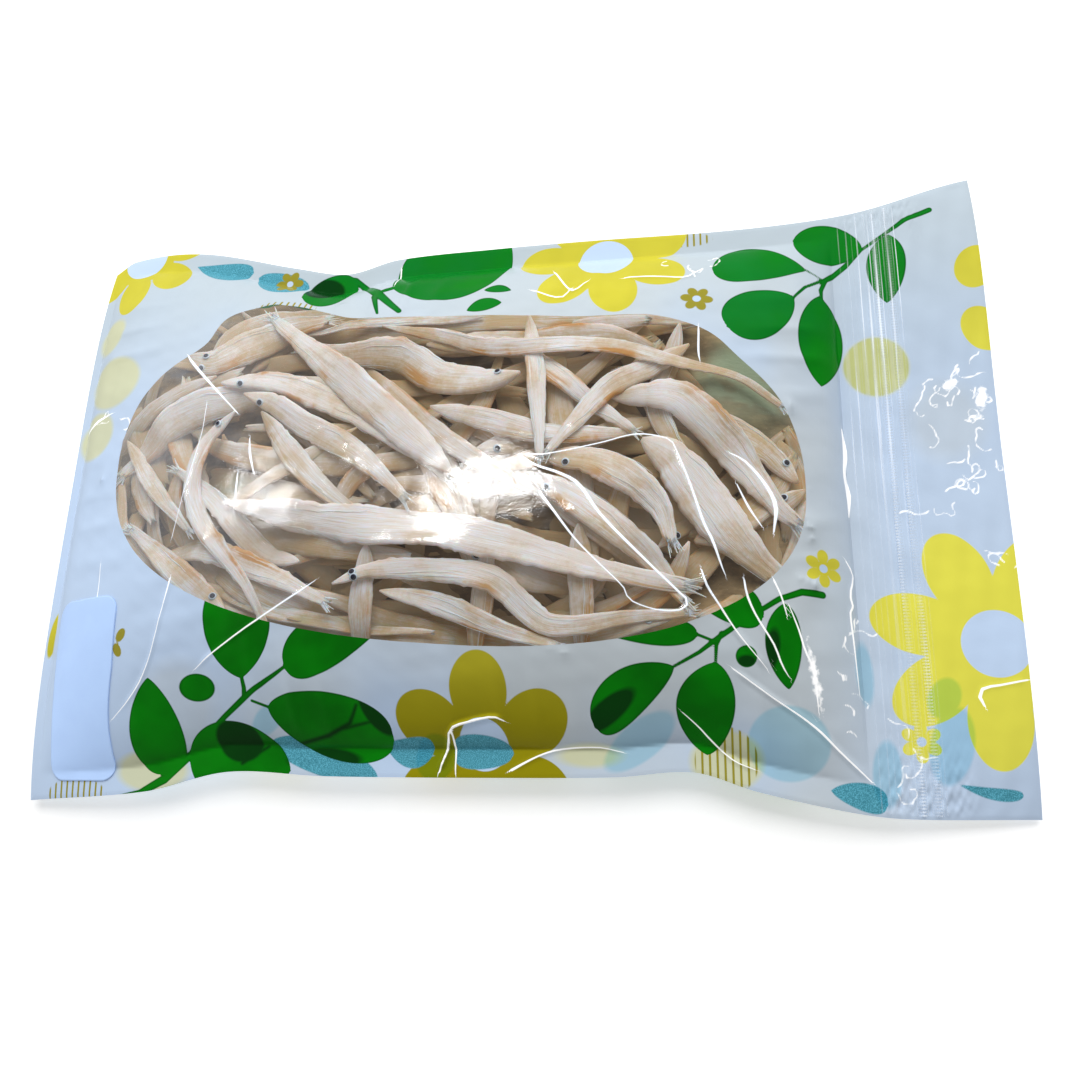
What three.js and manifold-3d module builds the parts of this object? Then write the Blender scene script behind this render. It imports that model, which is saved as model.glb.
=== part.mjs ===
// A sealed, lying pouch of dried whitebait with a clear oval window, in millimetres.
// X runs along the pouch to its zip end, Y across it and Z up. The origin is at the bottom centre.

import * as THREE from 'three';
import { mergeVertices } from 'three/addons/utils/BufferGeometryUtils.js';
import Module from 'manifold-3d';

// Pouch film: its length, the half gap between its two sheets, and its side seals
const HALF_LENGTH = 150;
const HALF_WIDTH = 98.5;
const HALF_FILM = 0.4;
const SEAL_WIDTH = 8;

// Side edges as seen from above, drawn in where the filling takes up the film
const TOP_EDGE = [
  [-150, 93], [-143, 98], [-115, 97], [-75, 86], [-56, 82], [-38, 86],
  [-3, 87], [32, 87], [71, 86.5], [113, 88], [150, HALF_WIDTH],
];
const BOTTOM_EDGE = [
  [-150, -97], [-108, -94], [-81, -88], [-50, -89], [2, -89], [37, -88.5],
  [59, -87], [76, -92], [100, -97], [115, -HALF_WIDTH], [150, -98],
];

// Filled chamber: where it starts and ends, how far it stands over and under the seals
const CHAMBER_LEFT = -147;
const CHAMBER_RIGHT = 106;
const CHAMBER_RISE = 27;
const CHAMBER_SINK = 15;
const END_ROUNDNESS = { power: 3.6, softness: 0.8 };
const SIDE_ROUNDNESS = { power: 2.5, softness: 0.85 };

// Flat seals and header: their height, lower at the corners, and raised at the header's far corner
const SEAL_HEIGHT = 9;
const CORNER_DROP = 6;
const CORNER_POWER = 4;
const HEADER_DROP = 1.5;
const HEADER_DROP_FROM = 90;
const HEADER_DROP_TO = 130;
const HEADER_LIFT = 6;
const HEADER_LIFT_FROM = 70;

// Oval window: a soft-cornered ellipse that leans a little
const WINDOW_X = -15;
const WINDOW_Y = 1;
const WINDOW_HALF_LENGTH = 108;
const WINDOW_HALF_WIDTH = 54;
const WINDOW_POWER = 2.4;
const WINDOW_LEAN = -0.07;
const WINDOW_SIDES = 72;

// Heap of fish in the window's pocket
const POCKET_FLOOR = 8;
const GAP = 0.3;
const CORE_DEPTH = 4.4;
const CORE_WAVE_HEIGHT = 0.9;
const CORE_WAVE_LENGTH = 24;
const FISH_FLATNESS = 0.5;
const FISH_FOOT = 1.6;
const FISH_CLEARANCE = 0.7;
const LAYER_DEPTH = 0.9;

// Half width of a fish from its snout to its tail, as shares of its widest
const GIRTH = [0.22, 0.62, 0.86, 1, 0.97, 0.82, 0.6, 0.42];

// Fish that show best: places along each from the snout, its width, and how many layers down it lies
const SHOWN_FISH = [
  { path: [[-8, -4], [-28, 15], [-55, 40], [-76, 59]], width: 10.5, layer: 0 },
  { path: [[-103, 45], [-94, 42], [-83, 48], [-71, 55], [-57, 58]], width: 11, layer: 2 },
  { path: [[-87, 32], [-67, 31], [-36, 16], [-21, 5], [-9, -5]], width: 8.6, layer: 1 },
  { path: [[-78, 27], [-68, 23], [-55, 14], [-43, 7], [-31, -2], [-22, -11]], width: 8, layer: 1 },
  { path: [[-72, 21], [-61, 7], [-50, -5], [-35, -16]], width: 6.8, layer: 3 },
  { path: [[11, 28], [2, 27], [-14, 29], [-28, 39], [-46, 42], [-64, 47]], width: 10.5, layer: 2 },
  { path: [[-3, 52], [-36, 54], [-66, 54]], width: 4.3, layer: 2 },
  { path: [[-36, 51], [-16, 45], [0, 39], [37, 37], [59, 30], [76, 26], [88, 17]], width: 5.2, layer: 0 },
  { path: [[14, 38], [16, 25], [17, 12]], width: 5.2, layer: 1 },
  { path: [[50, 30], [38, 23], [28, 11]], width: 6.8, layer: 1 },
  { path: [[17, 33], [24, 26], [35, 16]], width: 6.2, layer: 2 },
  { path: [[-16, 18], [2, 13], [18, 8], [44, 7]], width: 6.8, layer: 2 },
  { path: [[38, 20], [50, 20], [59, 18], [72, 4], [85, -14], [90, -19]], width: 10.5, layer: 1 },
  { path: [[47, 5], [55, 0], [65, -13], [77, -28], [85, -35]], width: 13.8, layer: 1 },
  { path: [[15, -5], [31, -15], [48, -29], [58, -42]], width: 8.3, layer: 1 },
  { path: [[19, 1], [37, -3], [51, -14], [55, -26]], width: 9.2, layer: 3 },
  { path: [[-79, -10], [-38, -18], [-11, -21], [11, -26], [31, -32], [59, -38]], width: 11, layer: 0 },
  { path: [[-43, -36], [-31, -32], [3, -35], [20, -48], [44, -46], [59, -45]], width: 6.8, layer: 0 },
  { path: [[-29, -38], [-11, -42], [6, -49], [23, -54]], width: 5.8, layer: 1 },
  { path: [[-35, -37], [-35.5, -43], [-36, -48]], width: 6.8, layer: 2 },
  { path: [[1, -37], [0, -43], [-1, -49]], width: 6.2, layer: 1 },
  { path: [[29, -33], [29, -40], [29, -46]], width: 6.8, layer: 2 },
  { path: [[-80, 21], [-89, 11], [-92, -4], [-86, -17], [-71, -35], [-64, -49]], width: 5.5, layer: 0 },
  { path: [[-121, 16], [-109, 0], [-91, -18]], width: 5.2, layer: 1 },
  { path: [[55, 32], [51, 18], [57, 3]], width: 6.8, layer: 3 },
  { path: [[-83, 27], [-103, 22], [-113, 13]], width: 10.5, layer: 3 },
  { path: [[-78, -43], [-95, -30], [-114, -15]], width: 8, layer: 3 },
  { path: [[-106, -26], [-88, -23], [-64, -32], [-45, -41]], width: 7.4, layer: 3 },
  { path: [[-54, -29], [-68, -24], [-84, -8], [-99, 3]], width: 6.8, layer: 3 },
  { path: [[91, -6], [83, 3], [69, 12], [52, 18]], width: 8, layer: 3 },
];

// Fish that fill in between, spread by a rule
const SEED = 20;
const FILLER_ROWS = 3;
const FILLER_COLUMNS = 6;
const FILLER_WIDTH = 7;
const FILLER_HALF_LENGTH = 24;
const FILLER_BEND = 4;
const FILLER_LAYER = 3;
const FILLER_EDGE = 0.95;

// Zip strip across the header: each rib's place from the strip's left edge, half width and height
const ZIP_LEFT = 108;
const ZIP_WIDTH = 18;
const ZIP_BASE = 0.4;
const ZIP_MARGIN = 1;
const ZIP_STEPS = 16;
const ZIP_RIBS = [
  { at: 3, half: 0.6, height: 0.9 },
  { at: 7, half: 0.5, height: 0.8 },
  { at: 12, half: 1.1, height: 1.7 },
  { at: 16, half: 1.1, height: 1.7 },
];

// Blank sticker at the lower left
const LABEL_LEFT = -142;
const LABEL_RIGHT = -117;
const LABEL_BOTTOM = -91;
const LABEL_TOP = -36;
const LABEL_THICKNESS = 0.3;
const LABEL_CORNER = 5;

// Grid lines over the film
const CHAMBER_COLUMNS = 30;
const CHAMBER_ROWS = 18;
const HEADER_COLUMNS = 5;
const CORE_CELLS = 14;
const LABEL_CELLS = 8;

const wasm = await Module();
wasm.setup();

const { lerp, smoothstep } = THREE.MathUtils;

function swell(offset, { power, softness }) {
  return Math.max(0, 1 - Math.abs(offset) ** power) ** softness;
}

function randomSource(seed) {
  let state = seed;
  return () => {
    state = (state * 1664525 + 1013904223) % 4294967296;
    return state / 4294967296;
  };
}

// Height of a smooth line through points given from left to right
function along(points, x) {
  const slopes = points.map((point, i) => {
    const before = points[Math.max(i - 1, 0)];
    const after = points[Math.min(i + 1, points.length - 1)];
    return (after[1] - before[1]) / (after[0] - before[0]);
  });
  let i = 0;
  while (i < points.length - 2 && x > points[i + 1][0]) i += 1;
  const span = points[i + 1][0] - points[i][0];
  const t = (x - points[i][0]) / span;
  const start = (2 * t - 3) * t * t + 1;
  return start * points[i][1] + (1 - start) * points[i + 1][1]
    + span * t * (1 - t) * ((1 - t) * slopes[i] - t * slopes[i + 1]);
}

// Height of the flat seals between the two sheets of film
function seamHeight(x, y) {
  const corner = Math.abs((x * y) / (HALF_LENGTH * HALF_WIDTH)) ** CORNER_POWER;
  const lift = smoothstep(x, HEADER_LIFT_FROM, HALF_LENGTH) * smoothstep(y, 0, HALF_WIDTH);
  const drop = smoothstep(x, HEADER_DROP_FROM, HEADER_DROP_TO);
  return SEAL_HEIGHT - CORNER_DROP * corner + HEADER_LIFT * lift - HEADER_DROP * drop;
}

// How full the pouch is at a place, from 0 on the seals to 1 in the middle
function fullness(x, y) {
  const top = along(TOP_EDGE, x) - SEAL_WIDTH;
  const bottom = along(BOTTOM_EDGE, x) + SEAL_WIDTH;
  const across = (2 * y - top - bottom) / (top - bottom);
  const lengthwise = (2 * x - CHAMBER_LEFT - CHAMBER_RIGHT) / (CHAMBER_RIGHT - CHAMBER_LEFT);
  return swell(lengthwise, END_ROUNDNESS) * swell(across, SIDE_ROUNDNESS);
}

function frontHeight(x, y) {
  return seamHeight(x, y) + HALF_FILM + CHAMBER_RISE * fullness(x, y);
}

function backHeight(x, y) {
  return Math.max(0, seamHeight(x, y) - HALF_FILM - CHAMBER_SINK * fullness(x, y));
}

// A point of the window's edge, or of a smaller copy of it
function windowPoint(angle, share, inset) {
  const c = Math.cos(angle);
  const s = Math.sin(angle);
  const bend = share / (Math.abs(c) ** WINDOW_POWER + Math.abs(s) ** WINDOW_POWER) ** (1 / WINDOW_POWER);
  const x = (WINDOW_HALF_LENGTH - inset) * c * bend;
  const y = (WINDOW_HALF_WIDTH - inset) * s * bend;
  return new THREE.Vector2(WINDOW_X + x, WINDOW_Y + y + WINDOW_LEAN * x);
}

function inWindow(x, y, share) {
  const u = (x - WINDOW_X) / WINDOW_HALF_LENGTH;
  const v = (y - WINDOW_Y - WINDOW_LEAN * (x - WINDOW_X)) / WINDOW_HALF_WIDTH;
  return Math.abs(u) ** WINDOW_POWER + Math.abs(v) ** WINDOW_POWER < share;
}

function fromTriangles(points, indices) {
  const geometry = new THREE.BufferGeometry();
  geometry.setAttribute('position', new THREE.Float32BufferAttribute(points, 3));
  geometry.setIndex(indices);
  return geometry;
}

// A closed solid over a grid of places, between an upper and a lower height
function slab(columns, rows, place, upper, lower) {
  const points = [];
  const indices = [];
  const perSide = (columns + 1) * (rows + 1);
  for (const height of [upper, lower]) {
    for (let i = 0; i <= columns; i += 1) {
      for (let j = 0; j <= rows; j += 1) {
        const [x, y] = place(i, j);
        points.push(x, y, height(x, y));
      }
    }
  }
  const at = (i, j) => i * (rows + 1) + j;
  const quad = (a, b, c, d) => indices.push(a, b, c, a, c, d);
  for (let i = 0; i < columns; i += 1) {
    for (let j = 0; j < rows; j += 1) {
      const corners = [at(i, j), at(i + 1, j), at(i + 1, j + 1), at(i, j + 1)];
      quad(...corners);
      quad(...corners.reverse().map((k) => k + perSide));
    }
  }
  const rim = [];
  for (let i = 0; i < columns; i += 1) rim.push(at(i, 0));
  for (let j = 0; j < rows; j += 1) rim.push(at(columns, j));
  for (let i = columns; i > 0; i -= 1) rim.push(at(i, rows));
  for (let j = rows; j > 0; j -= 1) rim.push(at(0, j));
  rim.forEach((k, n) => {
    const next = rim[(n + 1) % rim.length];
    quad(k, k + perSide, next + perSide, next);
  });
  return fromTriangles(points, indices);
}

// A closed solid through rings of points, each ring with as many points as the last
function loft(rings) {
  const sides = rings[0].length;
  const points = rings.flat().flatMap((p) => [p.x, p.y, p.z]);
  const indices = [];
  for (let r = 0; r + 1 < rings.length; r += 1) {
    for (let s = 0; s < sides; s += 1) {
      const a = r * sides + s;
      const b = r * sides + ((s + 1) % sides);
      indices.push(a, b, b + sides, a, b + sides, a + sides);
    }
  }
  const last = (rings.length - 1) * sides;
  const cap = THREE.ShapeUtils.triangulateShape(rings[0].map((p) => new THREE.Vector2(p.u, p.v)), []);
  for (const [a, b, c] of cap) {
    indices.push(a, c, b, last + a, last + b, last + c);
  }
  return fromTriangles(points, indices);
}

function toSolid(geometry) {
  const bare = new THREE.BufferGeometry();
  bare.setAttribute('position', geometry.getAttribute('position'));
  if (geometry.index) bare.setIndex(geometry.index);
  const merged = mergeVertices(bare);
  return new wasm.Manifold(new wasm.Mesh({
    numProp: 3,
    vertProperties: merged.getAttribute('position').array,
    triVerts: new Uint32Array(merged.index.array),
  }));
}

function toGeometry(solid) {
  const mesh = solid.getMesh();
  return fromTriangles(Array.from(mesh.vertProperties), Array.from(mesh.triVerts));
}

// An upright block with the window's outline
function windowBlock(inset, low, high) {
  const outline = [];
  for (let k = 0; k < WINDOW_SIDES; k += 1) {
    outline.push(windowPoint((2 * Math.PI * k) / WINDOW_SIDES, 1, inset));
  }
  const shape = new THREE.Shape(outline);
  const block = new THREE.ExtrudeGeometry(shape, { depth: high - low, bevelEnabled: false });
  block.translate(0, 0, low);
  return toSolid(block);
}

// Places between two ends that crowd towards both of them
function crowded(low, high, count) {
  const places = [];
  for (let k = 0; k <= count; k += 1) {
    const share = k / count;
    const eased = 0.5 * share + 0.25 * (1 - Math.cos(Math.PI * share));
    places.push(lerp(low, high, eased));
  }
  return places;
}

// The filled pouch with its flat seals and header, and a pocket under the window
function pouchBody() {
  const header = crowded(CHAMBER_RIGHT, HALF_LENGTH, HEADER_COLUMNS).slice(1);
  const columns = [-HALF_LENGTH, ...crowded(CHAMBER_LEFT, CHAMBER_RIGHT, CHAMBER_COLUMNS), ...header];
  const place = (i, j) => {
    const x = columns[i];
    const low = along(BOTTOM_EDGE, x);
    const high = along(TOP_EDGE, x);
    const rows = [low, ...crowded(low + SEAL_WIDTH, high - SEAL_WIDTH, CHAMBER_ROWS), high];
    return [x, rows[j]];
  };
  const film = toSolid(slab(columns.length - 1, CHAMBER_ROWS + 2, place, frontHeight, backHeight));
  return toGeometry(film.subtract(windowBlock(0, POCKET_FLOOR, 2 * CHAMBER_RISE)));
}

// A fish as a ridge with a foot in the core, its back at its layer's depth under the film
function fish({ path, width, layer }) {
  const curve = new THREE.CatmullRomCurve3(path.map(([x, y]) => new THREE.Vector3(x, y, 0)));
  const rings = GIRTH.map((girth, k) => {
    const t = k / (GIRTH.length - 1);
    const centre = curve.getPointAt(t);
    const ahead = curve.getTangentAt(t);
    const half = (width / 2) * girth;
    const back = FISH_CLEARANCE + layer * LAYER_DEPTH;
    const flank = back + half * FISH_FLATNESS;
    const foot = CORE_DEPTH + FISH_FOOT;
    const rightSide = [[half, foot], [half, flank], [half / 2, back]];
    const leftSide = rightSide.map(([u, depth]) => [-u, depth]).reverse();
    const outline = [...rightSide, ...leftSide];
    return outline.map(([u, depth]) => {
      const x = centre.x - ahead.y * u;
      const y = centre.y + ahead.x * u;
      return { x, y, z: frontHeight(x, y) - depth, u, v: -depth };
    });
  });
  return toSolid(loft(rings));
}

function fillerFish() {
  const random = randomSource(SEED);
  const list = [];
  for (let i = 0; i < FILLER_COLUMNS; i += 1) {
    for (let j = 0; j < FILLER_ROWS; j += 1) {
      const angle = (random() - 0.5) * Math.PI;
      const x = WINDOW_X + WINDOW_HALF_LENGTH * ((2 * i + 1 + random() - 0.5) / FILLER_COLUMNS - 1);
      const y = WINDOW_Y + WINDOW_HALF_WIDTH * ((2 * j + 1 + random() - 0.5) / FILLER_ROWS - 1);
      const dx = FILLER_HALF_LENGTH * Math.cos(angle);
      const dy = FILLER_HALF_LENGTH * Math.sin(angle);
      const bendX = (FILLER_BEND * dy) / FILLER_HALF_LENGTH;
      const bendY = (-FILLER_BEND * dx) / FILLER_HALF_LENGTH;
      const path = [[x - dx, y - dy], [x + bendX, y + bendY], [x + dx, y + dy]];
      if (path.every(([px, py]) => inWindow(px, py, FILLER_EDGE))) {
        list.push({ path, width: FILLER_WIDTH * (0.8 + 0.4 * random()), layer: FILLER_LAYER });
      }
    }
  }
  return list;
}

// The heap: an uneven core with the fish that show fused on, cut off at the window's edge
function heap() {
  const place = (i, j) => {
    const a = i / CORE_CELLS - 1;
    const b = (2 * j) / CORE_CELLS - 1;
    const flatX = a * Math.sqrt(1 - (b * b) / 2);
    const flatY = b * Math.sqrt(1 - (a * a) / 2);
    const point = windowPoint(Math.atan2(flatY, flatX), Math.hypot(flatX, flatY), 0);
    return [point.x, point.y];
  };
  const wave = (2 * Math.PI) / CORE_WAVE_LENGTH;
  const uneven = (x, y) => Math.sin(wave * (x + y)) * Math.cos(wave * y);
  const upper = (x, y) => frontHeight(x, y) - CORE_DEPTH + CORE_WAVE_HEIGHT * uneven(x, y);
  const lower = () => POCKET_FLOOR + GAP;
  let body = toSolid(slab(CORE_CELLS * 2, CORE_CELLS, place, upper, lower));
  for (const one of [...fillerFish(), ...SHOWN_FISH]) {
    body = body.add(fish(one));
  }
  return toGeometry(body.intersect(windowBlock(GAP, POCKET_FLOOR + GAP, 2 * CHAMBER_RISE)));
}

// The zip: a strip with ribs that follows the header
function zipStrip() {
  const profile = [[0, 0], [ZIP_WIDTH, 0], [ZIP_WIDTH, ZIP_BASE]];
  for (const rib of [...ZIP_RIBS].reverse()) {
    profile.push([rib.at + rib.half, ZIP_BASE], [rib.at + rib.half * 0.6, rib.height]);
    profile.push([rib.at - rib.half * 0.6, rib.height], [rib.at - rib.half, ZIP_BASE]);
  }
  profile.push([0, ZIP_BASE]);
  const rings = [];
  for (let k = 0; k <= ZIP_STEPS; k += 1) {
    const t = k / ZIP_STEPS;
    rings.push(profile.map(([u, v]) => {
      const x = ZIP_LEFT + u;
      const y = lerp(along(TOP_EDGE, x) - ZIP_MARGIN, along(BOTTOM_EDGE, x) + ZIP_MARGIN, t);
      return { x, y, z: frontHeight(x, y) + GAP + v, u, v };
    }));
  }
  return loft(rings);
}

// The blank sticker, bent with the film under it
function sticker() {
  const place = (i, j) => {
    const x = lerp(LABEL_LEFT, LABEL_RIGHT, i / LABEL_CELLS);
    const fromEnd = Math.min(x - LABEL_LEFT, LABEL_RIGHT - x);
    const short = Math.max(0, LABEL_CORNER - fromEnd);
    const round = LABEL_CORNER - Math.sqrt(LABEL_CORNER ** 2 - short ** 2);
    return [x, lerp(LABEL_BOTTOM + round, LABEL_TOP - round, j / LABEL_CELLS)];
  };
  const lower = (x, y) => frontHeight(x, y) + GAP;
  const upper = (x, y) => lower(x, y) + LABEL_THICKNESS;
  return slab(LABEL_CELLS, LABEL_CELLS, place, upper, lower);
}

function part(name, geometry, color, roughness) {
  const mesh = new THREE.Mesh(geometry, new THREE.MeshStandardMaterial({ color, roughness, metalness: 0 }));
  mesh.name = name;
  return mesh;
}

const pouchOfWhitebait = new THREE.Group();
pouchOfWhitebait.add(part('pouch', pouchBody(), 0xcddcec, 0.25));
pouchOfWhitebait.add(part('whitebait', heap(), 0xc8bca8, 0.7));
pouchOfWhitebait.add(part('zip', zipStrip(), 0xd4e0ee, 0.2));
pouchOfWhitebait.add(part('label', sticker(), 0xbcd8fc, 0.35));

export default pouchOfWhitebait;
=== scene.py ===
# A sealed pouch of dried whitebait with a clear oval window, made around its fixed solids.
# Tables of places are in millimetres in the pouch's own frame: +X to the zip, +Y to the far seal, +Z up.

import functools
import math

import bpy
import numpy as np
from mathutils import Matrix, Vector


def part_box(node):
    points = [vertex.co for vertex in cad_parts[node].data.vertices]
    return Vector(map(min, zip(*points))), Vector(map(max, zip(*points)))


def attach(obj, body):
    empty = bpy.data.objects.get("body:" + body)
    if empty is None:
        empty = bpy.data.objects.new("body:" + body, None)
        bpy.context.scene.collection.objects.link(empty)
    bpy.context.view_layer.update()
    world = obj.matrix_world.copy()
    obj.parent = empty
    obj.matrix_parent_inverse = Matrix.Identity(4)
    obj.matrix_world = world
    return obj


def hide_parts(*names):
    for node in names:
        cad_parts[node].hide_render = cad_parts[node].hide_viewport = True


bl_info = {
    "name": "Pouch of dried whitebait",
    "version": (1, 0, 0),
    "blender": (4, 5, 0),
    "location": "3D View > Sidebar > Whitebait",
    "description": "Builds a windowed pouch of dried fish around its fixed solids",
    "category": "Object",
}

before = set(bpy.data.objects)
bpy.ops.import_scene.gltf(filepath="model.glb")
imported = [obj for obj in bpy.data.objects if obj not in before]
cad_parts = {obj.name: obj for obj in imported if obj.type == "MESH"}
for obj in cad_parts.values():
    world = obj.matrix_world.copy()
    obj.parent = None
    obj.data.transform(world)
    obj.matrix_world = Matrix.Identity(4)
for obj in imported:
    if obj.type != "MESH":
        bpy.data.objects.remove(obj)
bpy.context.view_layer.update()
MM = 0.001

# Pouch outline, chamber and seals, as the fixed solids have them
HALF_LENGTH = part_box("pouch")[1].x / MM
HALF_WIDTH = 98.5
SEAL_WIDTH = 8
TOP_EDGE = [
    (-150, 93), (-143, 98), (-115, 97), (-75, 86), (-56, 82), (-38, 86),
    (-3, 87), (32, 87), (71, 86.5), (113, 88), (150, HALF_WIDTH),
]
BOTTOM_EDGE = [
    (-150, -97), (-108, -94), (-81, -88), (-50, -89), (2, -89), (37, -88.5),
    (59, -87), (76, -92), (100, -97), (115, -HALF_WIDTH), (150, -98),
]
CHAMBER_LEFT, CHAMBER_RIGHT = -147, 106
CHAMBER_RISE, CHAMBER_SINK = 27, 15
END_ROUNDNESS = (3.6, 0.8)
SIDE_ROUNDNESS = (2.5, 0.85)
SEAL_HEIGHT = 9
CORNER_DROP, CORNER_POWER = 6, 4
HEADER_DROP, HEADER_DROP_FROM, HEADER_DROP_TO = 1.5, 90, 130
HEADER_LIFT, HEADER_LIFT_FROM = 6, 70

# Oval window: a soft-cornered ellipse that leans a little
WINDOW_X, WINDOW_Y = -15, 1
WINDOW_HALF_LENGTH, WINDOW_HALF_WIDTH = 108, 54
WINDOW_POWER, WINDOW_LEAN = 2.4, -0.07

# Where the window's edge bulges or dips: its direction in degrees, the spread before and after it,
# and the rise as a share of the reach
WINDOW_BULGES = [(118, 8, 12.5, 0.2), (54, 11, 9, 0.06), (48, 24, 14, 0.025), (86, 24, 20, -0.05)]

# Grid lines of the film: over the window, from the window out to the seals, and over the header
WINDOW_COLUMNS, WINDOW_ROWS = 416, 216
RING_STEPS, HEADER_COLUMNS, HEADER_ROWS = 110, 110, 432
BACK_COLUMNS, BACK_HEADER_COLUMNS, BACK_ROWS = 300, 60, 150

# Fish that show best, from the snout: places, widest width, layers down, warmth of colour, and eyes that show
SHOWN_FISH = [
    ([(-8, -4), (-28, 15), (-55, 40), (-76, 59)], 10.5, 0, 0.2, 0),
    ([(-80, 21), (-89, 11), (-92, -4), (-86, -17), (-71, -35), (-64, -49)], 5.5, 0, 0.15, 1),
    ([(-36, 51), (-16, 45), (0, 39), (37, 37), (59, 30), (76, 26), (88, 17)], 5.2, 0, 0.4, 0),
    ([(-79, -10), (-38, -18), (-11, -21), (11, -26), (31, -32), (59, -38)], 11, 0, 0.0, 0),
    ([(-43, -36), (-31, -32), (3, -35), (20, -48), (44, -46), (59, -45)], 6.8, 0, 0.2, 2),
    ([(-87, 32), (-67, 31), (-36, 16), (-21, 5), (-9, -5)], 8.6, 1, 0.5, 1),
    ([(-78, 27), (-68, 23), (-55, 14), (-43, 7), (-31, -2), (-22, -11)], 8, 1, 0.3, 1),
    ([(14, 38), (16, 25), (17, 12)], 5.2, 1, 0.2, 0),
    ([(50, 30), (38, 23), (28, 11)], 6.8, 1, 0.3, 0),
    ([(38, 20), (50, 20), (59, 18), (72, 4), (85, -14), (90, -19)], 10.5, 1, 0.3, 0),
    ([(47, 5), (55, 0), (65, -13), (77, -28), (85, -35)], 13.8, 1, 0.35, 0),
    ([(15, -5), (31, -15), (48, -29), (58, -42)], 8.3, 1, 0.3, 1),
    ([(-29, -38), (-11, -42), (6, -49), (23, -54)], 5.8, 1, 0.5, 0),
    ([(1, -37), (0, -43), (-1, -49)], 6.2, 1, 0.3, 0),
    ([(-121, 16), (-109, 0), (-91, -18)], 5.2, 1, 0.2, 0),
    ([(-103, 45), (-94, 42), (-83, 48), (-71, 55), (-57, 58)], 11, 2, 0.5, 2),
    ([(11, 28), (2, 27), (-14, 29), (-28, 39), (-46, 42), (-64, 47)], 10.5, 2, 0.55, 1),
    ([(-3, 52), (-36, 54), (-66, 54)], 4.3, 2, 0.4, 0),
    ([(17, 33), (24, 26), (35, 16)], 6.2, 2, 0.3, 0),
    ([(-16, 18), (2, 13), (18, 8), (44, 7)], 6.8, 2, 0.3, 0),
    ([(-35, -37), (-35.5, -43), (-36, -48)], 6.8, 2, 0.4, 0),
    ([(29, -33), (29, -40), (29, -46)], 6.8, 2, 0.4, 0),
    ([(-72, 21), (-61, 7), (-50, -5), (-35, -16)], 6.8, 3, 0.8, 0),
    ([(19, 1), (37, -3), (51, -14), (55, -26)], 9.2, 3, 0.8, 1),
    ([(55, 32), (51, 18), (57, 3)], 6.8, 3, 0.4, 0),
    ([(-83, 27), (-103, 22), (-113, 13)], 10.5, 3, 0.4, 0),
    ([(-78, -43), (-95, -30), (-114, -15)], 8, 3, 0.3, 1),
    ([(-106, -26), (-88, -23), (-64, -32), (-45, -41)], 7.4, 3, 0.5, 1),
    ([(-54, -29), (-68, -24), (-84, -8), (-99, 3)], 6.8, 3, 0.4, 0),
    ([(91, -6), (83, 3), (69, 12), (52, 18)], 8, 3, 0.5, 1),
]

# Half width and half thickness of a fish from its snout to its tail, as shares of its widest
GIRTH = [
    (0, 0.1), (0.04, 0.36), (0.1, 0.62), (0.2, 0.85), (0.4, 1),
    (0.6, 0.92), (0.76, 0.7), (0.88, 0.48), (0.95, 0.42), (1, 0.3),
]
DEPTH = [
    (0, 0.3), (0.04, 0.7), (0.1, 1.1), (0.2, 1.05), (0.4, 1),
    (0.6, 0.9), (0.76, 0.75), (0.88, 0.5), (0.95, 0.3), (1, 0.16),
]

# Fish shorter than this run on under others, this far at each end; length of a head, and the eyes' place on
# it; and how much wider than their row the fish that show are made
SHORT_FISH, SHORT_FISH_REACH = 45, 13
HEAD_LENGTH, EYE_PLACE = 11, 6
SHOWN_WIDTH_SHARE = 1.1

# Fish that fill in: the way most of them lie and its spread in degrees, half length, bend and width, the
# share of them along the window's rim, and the share with an eye
FILLER_LIE, FILLER_SPREAD = -24, 40
FILLER_HALF_LENGTH, FILLER_BEND, FILLER_WIDTH = (26, 46), 7, (5, 11)
RIM_FISH, FILLER_EYES = 0.25, 0.3

# Fineness of the fish that show and of those under them: ring spacing and points in a ring; then the share
# of a ring's points on the back, how sharply the back falls off, and how far a fish stays stiff
SHOWN_STEP, SHOWN_SIDES = 1.1, 32
UNDER_STEP, UNDER_SIDES = 3.0, 16
BACK_SHARE, BACK_POWER, STIFFNESS = 0.72, 3.4, 4.5

# Long lumps of the skin, as width and rise; loose fibres and frays of the tail on each fish that shows
LOBES = ((3.6, 0.1), (1.7, 0.035))
LOOSE_FIBRES, TAIL_FRAYS = 5, 10

# Eyes: size of the ring against the pupil, thickness of both, and how far the pupil stands out
RING_SHARE, RING_BULGE, PUPIL_BULGE, PUPIL_LIFT = 1.45, 0.4, 0.45, 0.22

# Core under the fish: its size against the window, depth under the film, rise at its rim, and clearances
CORE_SHARE, CORE_COLUMNS, CORE_ROWS = 1.08, 120, 64
CORE_DEPTH, CORE_RISE = 13, 6
CORE_OVER_BACK, CORE_UNDER_FILM, CORE_LEAST = 1.2, 1.2, 0.4

# Corner of the window where few fish lie, and how much further out the lower fish are left out
BARE_CORNER, BARE_RADIUS, BARE_CLEARED = (78, 25), 13, 1.35

# Ceiling that the fish are laid under: its gap from the full front, rise and length of its lumps, and its
# drop outside the window
CEILING_GAP, CEILING_LUMPS, CEILING_LUMP_LENGTH, CEILING_DROP = 1.3, 0.5, 34, 3.0

# Film over the fish: its gap from them, and how far it sinks over the window where none holds it up; then the
# steps of drawing it tight, and the shares of the tight and the loose sheet in each
FILM_GAP, FILM_SINK, FAR_BELOW = 0.25, 1.1, -99.0
DRAWING_STEPS, TIGHT_SHARE, LOOSE_SHARE = 260, 0.985, 0.015

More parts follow.
